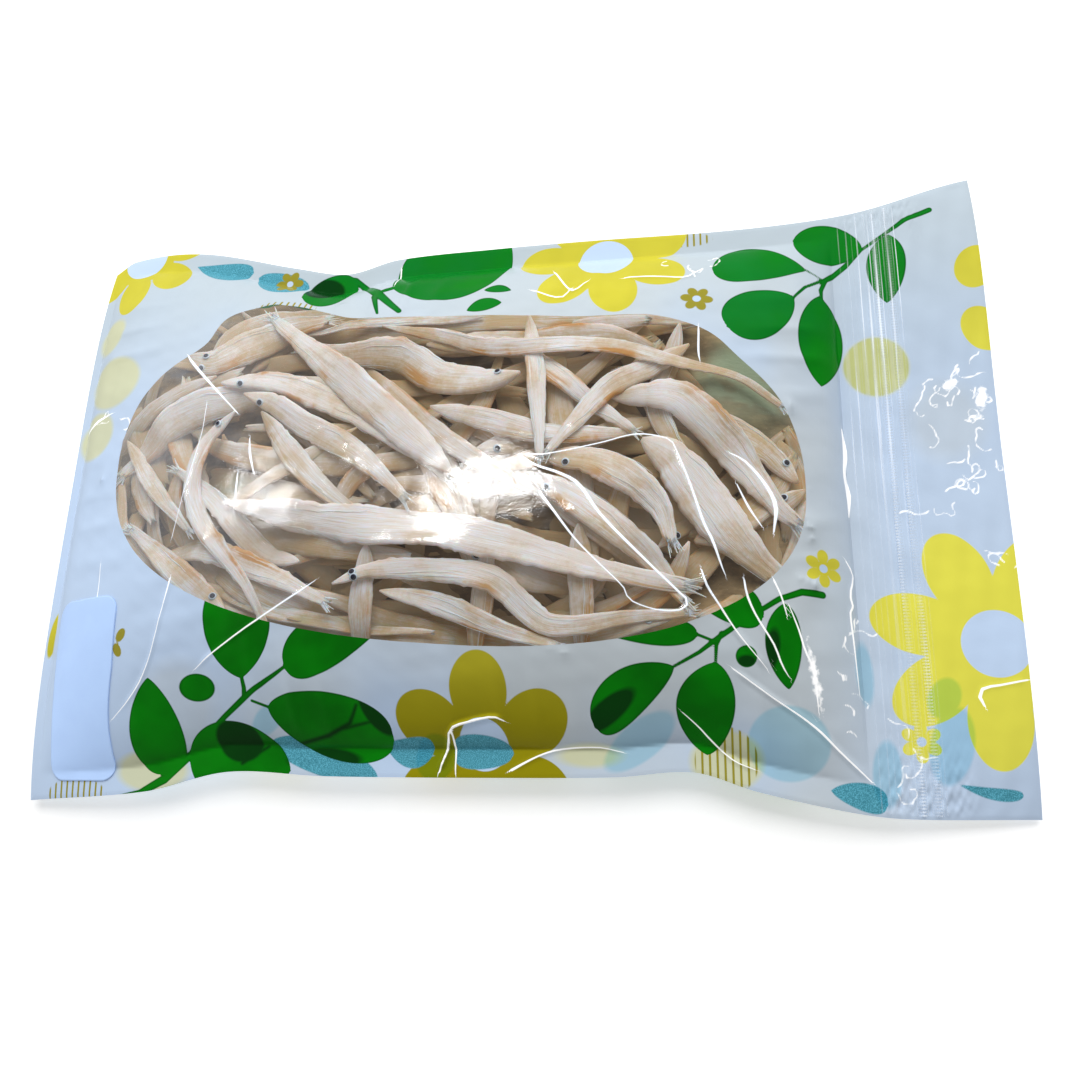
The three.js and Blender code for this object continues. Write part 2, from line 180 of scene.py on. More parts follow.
# Film elsewhere: how far each sheet stands off the seam, least gap between the sheets, how wide and high the
# gathers along the seals are, and where the header's crinkles start
SHEET_OFF_SEAM, SHEET_GAP = 0.12, 0.15
GATHER_LENGTH, GATHER_RISE = 15, 0.6
CRINKLES_FROM = 104

# Printed leaves: base, tip, widest width, bend, and how blunt the base and the tip are (less is blunter)
LEAVES = [
    ((-52.5, 78), (-70, 71), 17, 1.5, 0.5, 0.5), ((-36.5, 70.3), (1, 90.6), 37.6, -2, 0.6, 0.6),
    ((-8.2, 54.1), (2.8, 56.8), 6.1, 1, 0.8, 0.8), ((-3.8, 63.6), (5.3, 62.4), 4, 0.9, 0.8, 0.9),
    ((98.2, 66.8), (69, 68.5), 17.1, -2.4, 1, 0.5), ((115.6, 74.4), (94.9, 80.2), 14.8, 0.7, 0.7, 0.6),
    ((93.1, 55.7), (72.7, 43.1), 17.8, 0, 0.65, 0.42), ((101.1, 57.1), (99.8, 25.8), 13.9, 0.2, 0.75, 0.8),
    ((124.1, 78.7), (121.7, 55), 11.8, -0.7, 0.65, 0.8),
    ((-102.6, -89), (-103.7, -61.3), 17.7, -0.1, 0.5, 0.8),
    ((-72.8, -61.7), (-75.6, -29.2), 21.9, -0.8, 0.7, 0.7),
    ((-58.4, -58.9), (-28.9, -48.3), 14.9, 2.1, 0.45, 0.8),
    ((-65.4, -69.8), (-28, -78.8), 18.3, -0.5, 0.6, 0.42),
    ((-93.8, -83.2), (-60.6, -87.3), 23.7, -0.2, 0.6, 0.7),
    ((61.2, -50.7), (37.9, -51.6), 7.3, -0.6, 0.5, 0.9), ((79.1, -45.7), (63.1, -44.1), 11.3, -1.8, 0.5, 0.9),
    ((54.4, -59.4), (32, -75.3), 12.9, -1.8, 0.7, 0.42),
    ((65.8, -58.4), (62.7, -82.2), 16.1, -1.6, 0.7, 0.75),
    ((85.2, -42.2), (85.3, -65.3), 10, -0.9, 0.65, 0.8),
]
# Printed stems: places with the stem's width there
STEMS = [
    [(-55.3, 79.9, 1.6), (-53.1, 79.3, 1.9), (-42.2, 68.6, 3.4), (-31, 56.3, 1.8)],
    [(-40.5, 68, 1.6), (-36.5, 70.3, 1.9)], [(-42.2, 66.6, 2.5), (-38.6, 56.5, 0.9)],
    [(136.8, 86.7, 1.9), (129, 83.7, 1.7), (123.6, 79.8, 1.2), (115.3, 74.1, 1), (110.1, 68.8, 1.8),
     (104.8, 64.5, 1.8), (102.2, 62.6, 1.4)],
    [(102.9, 63.5, 0.6), (97.6, 67.2, 0.8)], [(102.9, 63.5, 1.1), (97, 60.1, 1.1), (93, 55.3, 0.9)],
    [(103.5, 63.2, 1.4), (101.9, 59.5, 1.4), (102, 55.7, 0.7)],
    [(-119.6, -95.8, 0.5), (-109.9, -94.5, 2), (-101.8, -90.3, 2.9), (-92.6, -82.3, 2.1), (-80.2, -72.4, 1.5),
     (-72.4, -66.9, 1.8), (-64.7, -62.4, 1.4), (-57.4, -58.4, 0.9)],
    [(-72.7, -66.9, 1.5), (-72.3, -64.4, 1.5), (-72.7, -61.1, 1.2)], [(-70.3, -68, 0.8), (-65.1, -69.8, 0.8)],
    [(95.8, -39.1, 2), (90, -38.8, 2), (83.6, -41.1, 1.6), (75.3, -46.4, 1.3), (67.7, -51.3, 1.6),
     (61.6, -55.7, 1.1), (54.1, -59.6, 0.8)],
    [(67.7, -50.7, 1.3), (66.2, -53.9, 1.1), (65.8, -59.1, 0.8)], [(65.5, -52.8, 0.8), (61, -51, 0.8)],
]
GREEN_DOTS = [((-87.5, -64.3), 5.8, 3.9, 2), ((74.2, -56.8), 2.9, 2.9, 0)]

# Darker print over the leaves, where the back's print shows through: ovals and stems
SHADED_OVALS = [
    ((-63.8, 75.5), 7, 5, -8), ((-77, -79), 7.4, 6, -12), ((-50, -84.4), 11.6, 3.6, 0),
    ((-31, -70.5), 8, 4.6, -56),
    ((80.9, -55), 6, 2.3, 78), ((36, -71), 9, 3.2, 36), ((74.2, -58), 2.6, 1.6, 0),
]
SHADED_STEMS = [
    [(-58, -79.9, 0.9), (-47.5, -77.5, 1.2), (-40.4, -74.3, 1.2), (-37.6, -69.4, 0.9)],
    [(-43.9, -75.9, 0.9), (-29.1, -72.9, 0.7)], [(-76.3, -85.3, 1.3), (-68.1, -80.4, 0.9)],
]

# Printed flowers: centre, number of petals, how far out they sit, their half length and half width, turn,
# and the radius of the middle disc
BIG_FLOWERS = [
    ((-137.8, 97.7), 7, 17.5, 9.5, 6.6, -89, 12), ((34.5, 77.3), 7, 18, 10.5, 7.6, 24, 14.5),
    ((-0.8, -82.8), 6, 17.5, 10.5, 8.3, 30, 14), ((142.4, -51.4), 7, 21, 13.4, 8.6, 10, 15.8),
    ((170, 55), 7, 24, 6, 7.6, 0.7, 0),
]
FLOWER_CENTRES = [((-137.8, 97.7), 8.6), ((34.5, 77.3), 9), ((-0.8, -80), 7.2), ((142.4, -51.4), 9.4)]
YELLOW_SPOTS = [((-147.4, -45), 7.4, 1.7, -96)]
SMALL_FLOWERS = [((-77.7, 80), 6, 3.2, 1.9, 1.5, 0, 1.9), ((63.8, 54.1), 6, 3.1, 1.9, 1.5, -7, 1.9)]
OLIVE_SPOTS = [((-113.3, -48.5), 2.3, 1.5, 50), ((-114.6, -52.9), 2.2, 1.5, -60)]
SMALL_YELLOW = [((96.6, -31.3), 6, 3.5, 2, 1.6, -29, 2.2), ((120.3, -78.2), 6, 3.6, 2.1, 1.7, 30, 2.2)]
SMALL_CENTRES = [((-77.7, 80), 1.2), ((63.8, 54.1), 1.3), ((96.6, -31.3), 1.2), ((120.3, -78.2), 1.3)]

# Teal shapes, in the same terms as the leaves; pale, yellowish and striped shapes: centre, half length,
# half width and turn in degrees
TEAL_SHAPES = [
    ((-115.4, 91.4), (-92.5, 86.1), 9, -1.7, 1, 0.45), ((-89.9, 83.7), (-70.3, 77.7), 10.1, -1.4, 0.6, 0.6),
    ((-67.2, -79.6), (-33.1, -89.4), 10.1, 0.6, 0.6, 0.6),
    ((-31.1, -80), (-16, -80.5), 8.6, -2, 0.8, 0.5),
    ((-9.8, -81.8), (7.4, -82), 9.6, 0, 0.25, 0.42),
    ((95.6, -91.4), (110.1, -94.9), 7.5, 0.5, 0.7, 0.35),
    ((129.2, -89.3), (145.5, -91.9), 3.4, -0.9, 0.9, 0.4),
]
PALE_SHAPES = [
    ((128.3, -79.2), 10.7, 5.7, 75), ((110.7, -86.9), 8.9, 3.9, 86), ((106.5, -59.8), 8.7, 2.5, 92),
    ((84.9, -79.4), 11.1, 9.9, 0), ((44, -79), 12, 5, 36), ((-15.5, -83.5), 6, 6.6, -22),
    ((127.3, -66.4), 4.2, 5.9, -27),
    ((-66, -73), 7, 3.2, 35),
]
GHOST_SHAPES = [
    ((116.9, 34), 9.6, 9.6, 0), ((-134.2, 40.9), 13.2, 9.8, -16), ((-141.9, 62.1), 6, 7.4, -22),
    ((-139.3, 22), 10, 8.6, -17), ((29.6, -82.6), 9, 3.2, 0), ((-106, -88), 12, 6, 0), ((68, -84), 10, 8, 0),
]
GREY_SHAPES = [((135.5, 15.3), 10.5, 12, -3), ((-96, -70), 14, 12, 40), ((94, 20), 9, 30, 0)]
STRIPED_SHAPES = [
    ((-73.2, 63.5), 10.4, 4, 0), ((58.7, 84.8), 10.4, 3.1, -6), ((-132.5, -95), 10.6, 4.9, 0),
    ((67.9, -84), 8.7, 9, 0),
]
FAINT_STRIPES = [((116.9, 34), 9.6, 9.6, 0)]

# Folds of the film: places with the half width there of the painted highlight line along the fold, and how
# high the film stands
FOLDS = [
    ([(14.8, 0.6, 0.12), (19.7, 0.1, 0.23), (35.4, 3, 0.23), (43.9, 5.3, 0.23), (48.4, 5.5, 0.28),
      (55.1, 4, 0.22),
      (56.2, 2.4, 0.28), (60.3, -8.8, 0.41), (64.1, -21.1, 0.54), (66.1, -25.3, 0.54), (68.3, -32.3, 0.3),
      (69.3, -35, 0.1)], 0.5),
    ([(12.8, -0.4, 0.29), (17.2, -3.2, 0.43), (24.1, -6, 0.57), (29.2, -9.2, 0.71), (35.4, -18.2, 0.56),
      (46.2, -29.7, 0.48), (56.8, -40.1, 0.4), (59, -42.4, 0.4), (57.7, -44.4, 0.34), (53.4, -44.9, 0.27),
      (48.5, -44.2, 0.22), (42.9, -41.8, 0.22), (41.6, -38.8, 0.22), (35.2, -32.4, 0.28), (28.4, -25.3, 0.35),
      (20.8, -14.9, 0.5), (18.5, -11.8, 0.57)], 0.45),
    ([(-101.9, 44.2, 0.3), (-99.9, 41.7, 0.61), (-94.7, 36.1, 0.6), (-78.8, 19.9, 0.2)], 0.4),
    ([(-48, -35, 0.1), (-52.3, -37.7, 0.34), (-65, -44.8, 0.32), (-80.4, -53.9, 0.26),
      (-87.5, -59.2, 0.1)], 0.35),
    ([(64.1, 43, 0.2), (64.1, 41.1, 0.36), (63.9, 32.8, 0.4), (64.3, 30, 0.1)], 0.2),
    ([(72, 0.5, 0.2), (75.9, -1.6, 0.5), (81.4, -8.2, 0.7), (84, -14.3, 0.9), (83.1, -22.1, 0.3)], 0.2),
    ([(73.5, -9, 0.2), (76.5, -15.5, 0.5), (79.7, -20.5, 0.2)], 0.1),
    ([(-73, 10.5, 0.2), (-72.1, 5, 0.6), (-70.1, -1.3, 0.2)], 0.2),
    ([(-75.6, -0.9, 0.2), (-75.5, -7.4, 0.5)], 0.2),
    ([(-90.4, 24.8, 0.1), (-90.3, 14.1, 0.13), (-93.2, -2.6, 0.13), (-96.5, -20, 0.1)], 0.15),
    ([(62.9, -33.8, 0.25), (64.1, -37.9, 0.45), (67.4, -43.3, 0.35), (72.5, -51.2, 0.25),
      (79.7, -60.1, 0.1)], 0.9),
    ([(74.4, -36.3, 0.3), (75, -40.4, 0.42), (77.2, -45.8, 0.32), (81.8, -53.7, 0.32), (83.7, -59, 0.32),
      (85.5, -62.1, 0.1)], 0.6),
    ([(82.5, -35.9, 0.3), (84.2, -40, 0.3), (85.6, -45.4, 0.2)], 0.3),
    ([(86.3, -42.7, 0.15), (88.7, -49.4, 0.3), (90.1, -54.8, 0.34), (92.3, -60, 0.4), (92.8, -66.7, 0.3),
      (93.1, -71.5, 0.1)], 0.4),
    ([(70.3, -59.9, 0.2), (80, -67, 0.2), (87.8, -72.1, 0.27), (93, -76, 0.4), (98.1, -81.1, 0.33),
      (106.3, -88.9, 0.2)], 0.7),
    ([(56.1, -71, 0.1), (60.8, -75.1, 0.21), (64, -78.5, 0.27), (70.1, -83.8, 0.19),
      (75.9, -86.2, 0.1)], 0.4),
    ([(-124.2, -25.1, 0.1), (-124.1, -34.8, 0.2), (-125.4, -44.1, 0.1)], 0.2),
    ([(-96.1, -32.6, 0.35), (-97.9, -40, 0.16), (-102.2, -54.6, 0.14), (-108.2, -64.7, 0.2),
      (-117.5, -73.2, 0.1)], 0.4),
    ([(-131, 28.5, 0.1), (-139.6, 27.4, 0.9), (-145, 25.3, 0.39)], 0.2),
    ([(-14.4, -87.5, 0.3), (-11.3, -79.8, 0.45), (-9.8, -75.9, 0.45), (-4.2, -74, 0.37), (3, -72.7, 0.36),
      (6.1, -73.7, 0.2)], 1.6),
    ([(-9.7, -76.2, 0.3), (-9.5, -80.1, 0.37), (-9.5, -88, 0.2)], 0.5),
    ([(7, -86.8, 0.5), (15.1, -82.7, 0.29), (20.9, -81, 0.29), (32.5, -80.4, 0.21), (39.6, -81.7, 0.1)], 0.5),
    ([(41.5, 64.8, 0.3), (49.3, 65.2, 0.38), (60.2, 63.9, 0.31), (64.9, 67.6, 0.2)], 0.4),
    ([(18.4, 71, 0.34), (25.1, 59.9, 0.4), (29.8, 64.4, 0.2)], 0.5),
    ([(12.2, 61.5, 0.33), (21.6, 56.7, 0.36), (25, 61, 0.2)], 0.3),
    ([(103.5, -27.8, 0.2), (105.4, -31.8, 0.24), (104, -38, 0.46), (104.7, -40.8, 0.38), (103.7, -42.1, 0.38),
      (104.1, -52.2, 0.3), (104.7, -66.1, 0.1)], 0.3),
    ([(137.5, -68.3, 0.39), (136.5, -65.6, 0.65), (137.7, -63.7, 0.52), (141.9, -62.9, 0.39),
      (149.2, -61.5, 0.3)], 0.2),
    ([(-36.6, 72.6, 0.2), (-36.7, 82, 0.3)], 0.3),
    ([(105.4, 14, 0.2), (105.9, 6, 1.0), (105.2, -1, 0.6), (106, -7, 1.0), (105.6, -14, 0.2)], 0.3),
]

# Half width of a fold's ridge, how far off a drawn line still counts, step along a fold, and the share of the
# rows' widths that its painted highlight line gets
FOLD_HALF, FOLD_REACH = 1.5, 3.0
FOLD_STEP, FOLD_LINE_SHARE = 2.2, 0.72

# Curly glints, most of them on the crumpled header: middle of each patch, its half sizes, curls and seed
GLINT_PATCHES = [
    ((137, 24), (9, 12), 13, 3), ((134, -4), (8, 9), 9, 4), ((146, 14), (3, 26), 6, 5),
    ((148, -24), (1.5, 7), 3, 6), ((101, -62), (2.6, 15), 9, 7), ((119, -84), (6, 7), 5, 8),
    ((60, 70), (8, 4), 4, 9), ((-134, 27), (8, 3), 3, 10),
]
GLINT_STEP = 1.1

# Broad glints: centre, half length, half width and turn
GLINT_SPOTS = [
    ((92.5, -62), 1.0, 7, 8), ((74.6, -36.5), 1.8, 1.2, 0), ((146, 22), 1.6, 3.4, -10),
    ((137.5, 27), 2.2, 1.4, 30),
]

# Zip: rib places from the strip's left edge with their radius, and which of them are tracks with rungs
ZIP_LEFT = 108
ZIP_RIBS = [
    (0.6, 0.16), (3, 0.2), (4.6, 0.13), (6.2, 0.2), (8.4, 0.5), (9.8, 0.14), (11.2, 0.36), (12.6, 0.14),
    (13.8, 0.2), (15.2, 0.3), (16.6, 0.18), (17.6, 0.14),
]
ZIP_TRACKS = (11.2, 15.2)

# Step along a rib and its sides; how far a rib's middle stands off the film as a share of its radius, and how
# far a rung's middle does
ZIP_STEP, ZIP_SIDES = 1.5, 10
RIB_LIFT, RUNG_LIFT = 0.35, 0.55

# Sticker: its edges, how far its right edge leans and waves, its grid, and its gap from the film
LABEL_LEFT, LABEL_RIGHT = -142, -117
LABEL_BOTTOM, LABEL_TOP = -91, -36
LABEL_LEAN, LABEL_WAVE = 4, 1.1
LABEL_COLUMNS, LABEL_ROWS, LABEL_GAP = 60, 120, 0.1

# Pieces of the front film beside its window
PRINTED_FRONT = ("film_near", "film_far", "film_header")

# Large lamps in metres: where each stands and its size, with the place that both look at
LAMP_AIM = (-0.005, -0.005, 0.036)
SOFT_LAMP = ((0.15, 0.85, 0.86), 1.2)
FILL_LAMP = ((-0.8, 0, 0.4), 0.8)

# Small lamps in metres: the place on the film that mirrors each, the way to it from there, its size and
# its share of the power; and how far off they stand
GLINT_LAMPS = [
    ((0.004, -0.008, 0.0365), (-0.205, 0.3, 0.932), 0.125, 1.2),
    ((-0.064, -0.009, 0.036), (-0.5, 0.27, 0.82), 0.13, 0.6),
]
GLINT_LAMP_REACH = 0.8

# Floor in metres: half its side, and how far under the pouch it lies
FLOOR_HALF, FLOOR_DROP = 6.0, 0.0004

# Camera: where it stands, the way back from the pouch and the way to its right; and its sensor
CAMERA_PLACE = (66.15, -106.75, 294)
CAMERA_BACK = (0.176, -0.298, 0.938)
CAMERA_RIGHT = (0.984, 0.021, -0.178)
SENSOR_WIDTH = 36

WHITE, BLACK = [1, 1, 1, 1], [0, 0, 0, 1]


def smoothstep(x, low, high):
    t = np.clip((x - low) / (high - low), 0, 1)
    return t * t * (3 - 2 * t)


def along(points, x):
    """Height at x of a smooth line through points given from left to right."""
    px, py = np.array(points, float).T
    spots = np.arange(len(px))
    before = np.maximum(spots - 1, 0)
    after = np.minimum(spots + 1, len(px) - 1)
    slopes = (py[after] - py[before]) / (px[after] - px[before])
    i = np.clip(np.searchsorted(px, x, side="left") - 1, 0, len(px) - 2)
    span = px[i + 1] - px[i]
    t = (x - px[i]) / span
    start = (2 * t - 3) * t * t + 1
    bend = span * t * (1 - t) * ((1 - t) * slopes[i] - t * slopes[i + 1])
    return start * py[i] + (1 - start) * py[i + 1] + bend


def waves(x, y, length, seed, count=7):
    """Smooth random lumps of about one wavelength, mostly from -1 to 1."""
    random = np.random.default_rng(seed)
    total = np.zeros(np.broadcast(x, y).shape)
    for _ in range(count):
        angle = random.uniform(0, 2 * math.pi)
        pitch = 2 * math.pi / (length * random.uniform(0.7, 1.5))
        shift = random.uniform(0, 2 * math.pi)
        total = total + np.sin(pitch * (x * math.cos(angle) + y * math.sin(angle)) + shift)
    return total / math.sqrt(2 * count)


def bell(x, middle, spread):
    """1 at the middle, falling off to both sides."""
    return np.exp(-(((x - middle) / spread) ** 2))


def swell(offset, roundness):
    power, softness = roundness
    return np.maximum(0, 1 - np.abs(offset) ** power) ** softness


def seam_height(x, y):
    """Height of the flat seals between the two sheets of film."""
    corner = np.abs(x * y / (HALF_LENGTH * HALF_WIDTH)) ** CORNER_POWER
    lift = smoothstep(x, HEADER_LIFT_FROM, HALF_LENGTH) * smoothstep(y, 0, HALF_WIDTH)
    drop = smoothstep(x, HEADER_DROP_FROM, HEADER_DROP_TO)
    return SEAL_HEIGHT - CORNER_DROP * corner + HEADER_LIFT * lift - HEADER_DROP * drop


def fullness(x, y):
    """How full the pouch is at a place, from 0 on the seals to 1 in the middle."""
    top = along(TOP_EDGE, x) - SEAL_WIDTH
    bottom = along(BOTTOM_EDGE, x) + SEAL_WIDTH
    across = (2 * y - top - bottom) / (top - bottom)
    lengthwise = (2 * x - CHAMBER_LEFT - CHAMBER_RIGHT) / (CHAMBER_RIGHT - CHAMBER_LEFT)
    return swell(lengthwise, END_ROUNDNESS) * swell(across, SIDE_ROUNDNESS)


def front_height(x, y):
    return seam_height(x, y) + CHAMBER_RISE * fullness(x, y)


def back_height(x, y):
    return np.maximum(0, seam_height(x, y) - CHAMBER_SINK * fullness(x, y))


def to_rim(x, y):
    """How far a place lies inside the pouch's outline."""
    rim = np.minimum(HALF_LENGTH - np.abs(x), along(TOP_EDGE, x) - y)
    return np.minimum(rim, y - along(BOTTOM_EDGE, x))


def window_reach(angle):
    """How far the window's edge lies out in a direction, as a share of the plain oval's."""
    turn = np.degrees(angle)
    reach = 1.0
    for middle, before, after, rise in WINDOW_BULGES:
        off = (turn - middle + 180) % 360 - 180
        reach = reach + rise * np.exp(-np.abs(off / np.where(off < 0, before, after)) ** 3)
    return reach


def oval_size(u, v):
    return (np.abs(u) ** WINDOW_POWER + np.abs(v) ** WINDOW_POWER) ** (1 / WINDOW_POWER)


def window_point(angle, share):
    """A point of the window's edge, or of a copy of it of another size."""
    c, s = np.cos(angle), np.sin(angle)
    bend = share * window_reach(angle) / oval_size(c, s)
    x = WINDOW_HALF_LENGTH * c * bend
    return WINDOW_X + x, WINDOW_Y + WINDOW_HALF_WIDTH * s * bend + WINDOW_LEAN * x


def window_share(x, y):
    """How far out a place lies in the window, 1 on its edge."""
    u = (x - WINDOW_X) / WINDOW_HALF_LENGTH
    v = (y - WINDOW_Y - WINDOW_LEAN * (x - WINDOW_X)) / WINDOW_HALF_WIDTH
    return oval_size(u, v) / window_reach(np.arctan2(v, u))


class HeightMap:
    """Heights over a grid of places a millimetre apart."""

    LEFT, RIGHT, NEAR, FAR = -152.0, 153.0, -102.0, 103.0

    def __init__(self, height):
        columns, rows = np.arange(self.LEFT, self.RIGHT), np.arange(self.NEAR, self.FAR)
        self.x, self.y = np.meshgrid(columns, rows, indexing="ij")
        self.z = height(self.x, self.y) if callable(height) else height

    def cell(self, x, y):
        i = np.clip(np.rint(x - self.LEFT).astype(int), 0, self.z.shape[0] - 1)
        j = np.clip(np.rint(y - self.NEAR).astype(int), 0, self.z.shape[1] - 1)
        return i, j

    def at(self, x, y):
        u = np.clip(x - self.LEFT, 0, self.z.shape[0] - 1.001)
        v = np.clip(y - self.NEAR, 0, self.z.shape[1] - 1.001)
        i, j = u.astype(int), v.astype(int)
        u, v = u - i, v - j
        near = self.z[i, j] * (1 - u) + self.z[i + 1, j] * u
        far = self.z[i, j + 1] * (1 - u) + self.z[i + 1, j + 1] * u
        return near * (1 - v) + far * v

    def lower(self, x, y, z):
        np.minimum.at(self.z, self.cell(x, y), z)

    def raise_to(self, x, y, z):
        np.maximum.at(self.z, self.cell(x, y), z)


def run(values, reach, pick):
    """A running pick, such as the least or the mean, over the neighbours of each value."""
    padded = np.pad(values, reach, mode="edge")
    return pick(np.lib.stride_tricks.sliding_window_view(padded, 2 * reach + 1), axis=1)


def smooth_noise(random, count, every):
    """A smooth random row between -1 and 1 with a new value about every so many steps."""
    knots = max(2, int(count / every) + 2)
    values = random.uniform(-1, 1, knots)
    return along(list(zip(np.linspace(0, 1, knots), values)), np.linspace(0, 1, count))


def even_line(path, step):
    """Places a step apart along a smooth line through a few places."""
    px, py = np.array(path, float).T
    reach = np.concatenate([[0], np.cumsum(np.hypot(np.diff(px), np.diff(py)))])
    fine = np.linspace(0, reach[-1], 400)
    x = along(list(zip(reach, px)), fine)
    y = along(list(zip(reach, py)), fine)
    length = np.concatenate([[0], np.cumsum(np.hypot(np.diff(x), np.diff(y)))])
    even = np.linspace(0, length[-1], max(8, int(length[-1] / step) + 1))
    return np.interp(even, length, x), np.interp(even, length, y), even


def reached_out(path):
    """A short path with both ends carried on under what lies over it."""
    places = np.array(path, float)
    length = np.hypot(*np.diff(places, axis=0).T).sum()
    if length > SHORT_FISH:
        return places
    start, end = places[0] - places[1], places[-1] - places[-2]
    start, end = start / np.hypot(*start), end / np.hypot(*end)
    return np.vstack([places[0] + SHORT_FISH_REACH * start, places, places[-1] + SHORT_FISH_REACH * end])


def unit_ways(ahead):
    """Ways ahead, to the right and up along a line, each of length one."""
    ahead = ahead / np.linalg.norm(ahead, axis=1)[:, None]
    right = np.cross(ahead, (0, 0, 1))
    right /= np.linalg.norm(right, axis=1)[:, None]
    return ahead, right, np.cross(right, ahead)


def ring_faces(count, sides):
    """Square faces from each ring of points to the next."""
    ring = np.arange(sides)
    after = (ring + 1) % sides
    start = (np.arange(count - 1) * sides)[:, None]
    faces = np.stack([start + ring, start + sides + ring, start + sides + after, start + after], axis=-1)
    return faces.reshape(-1, 4)


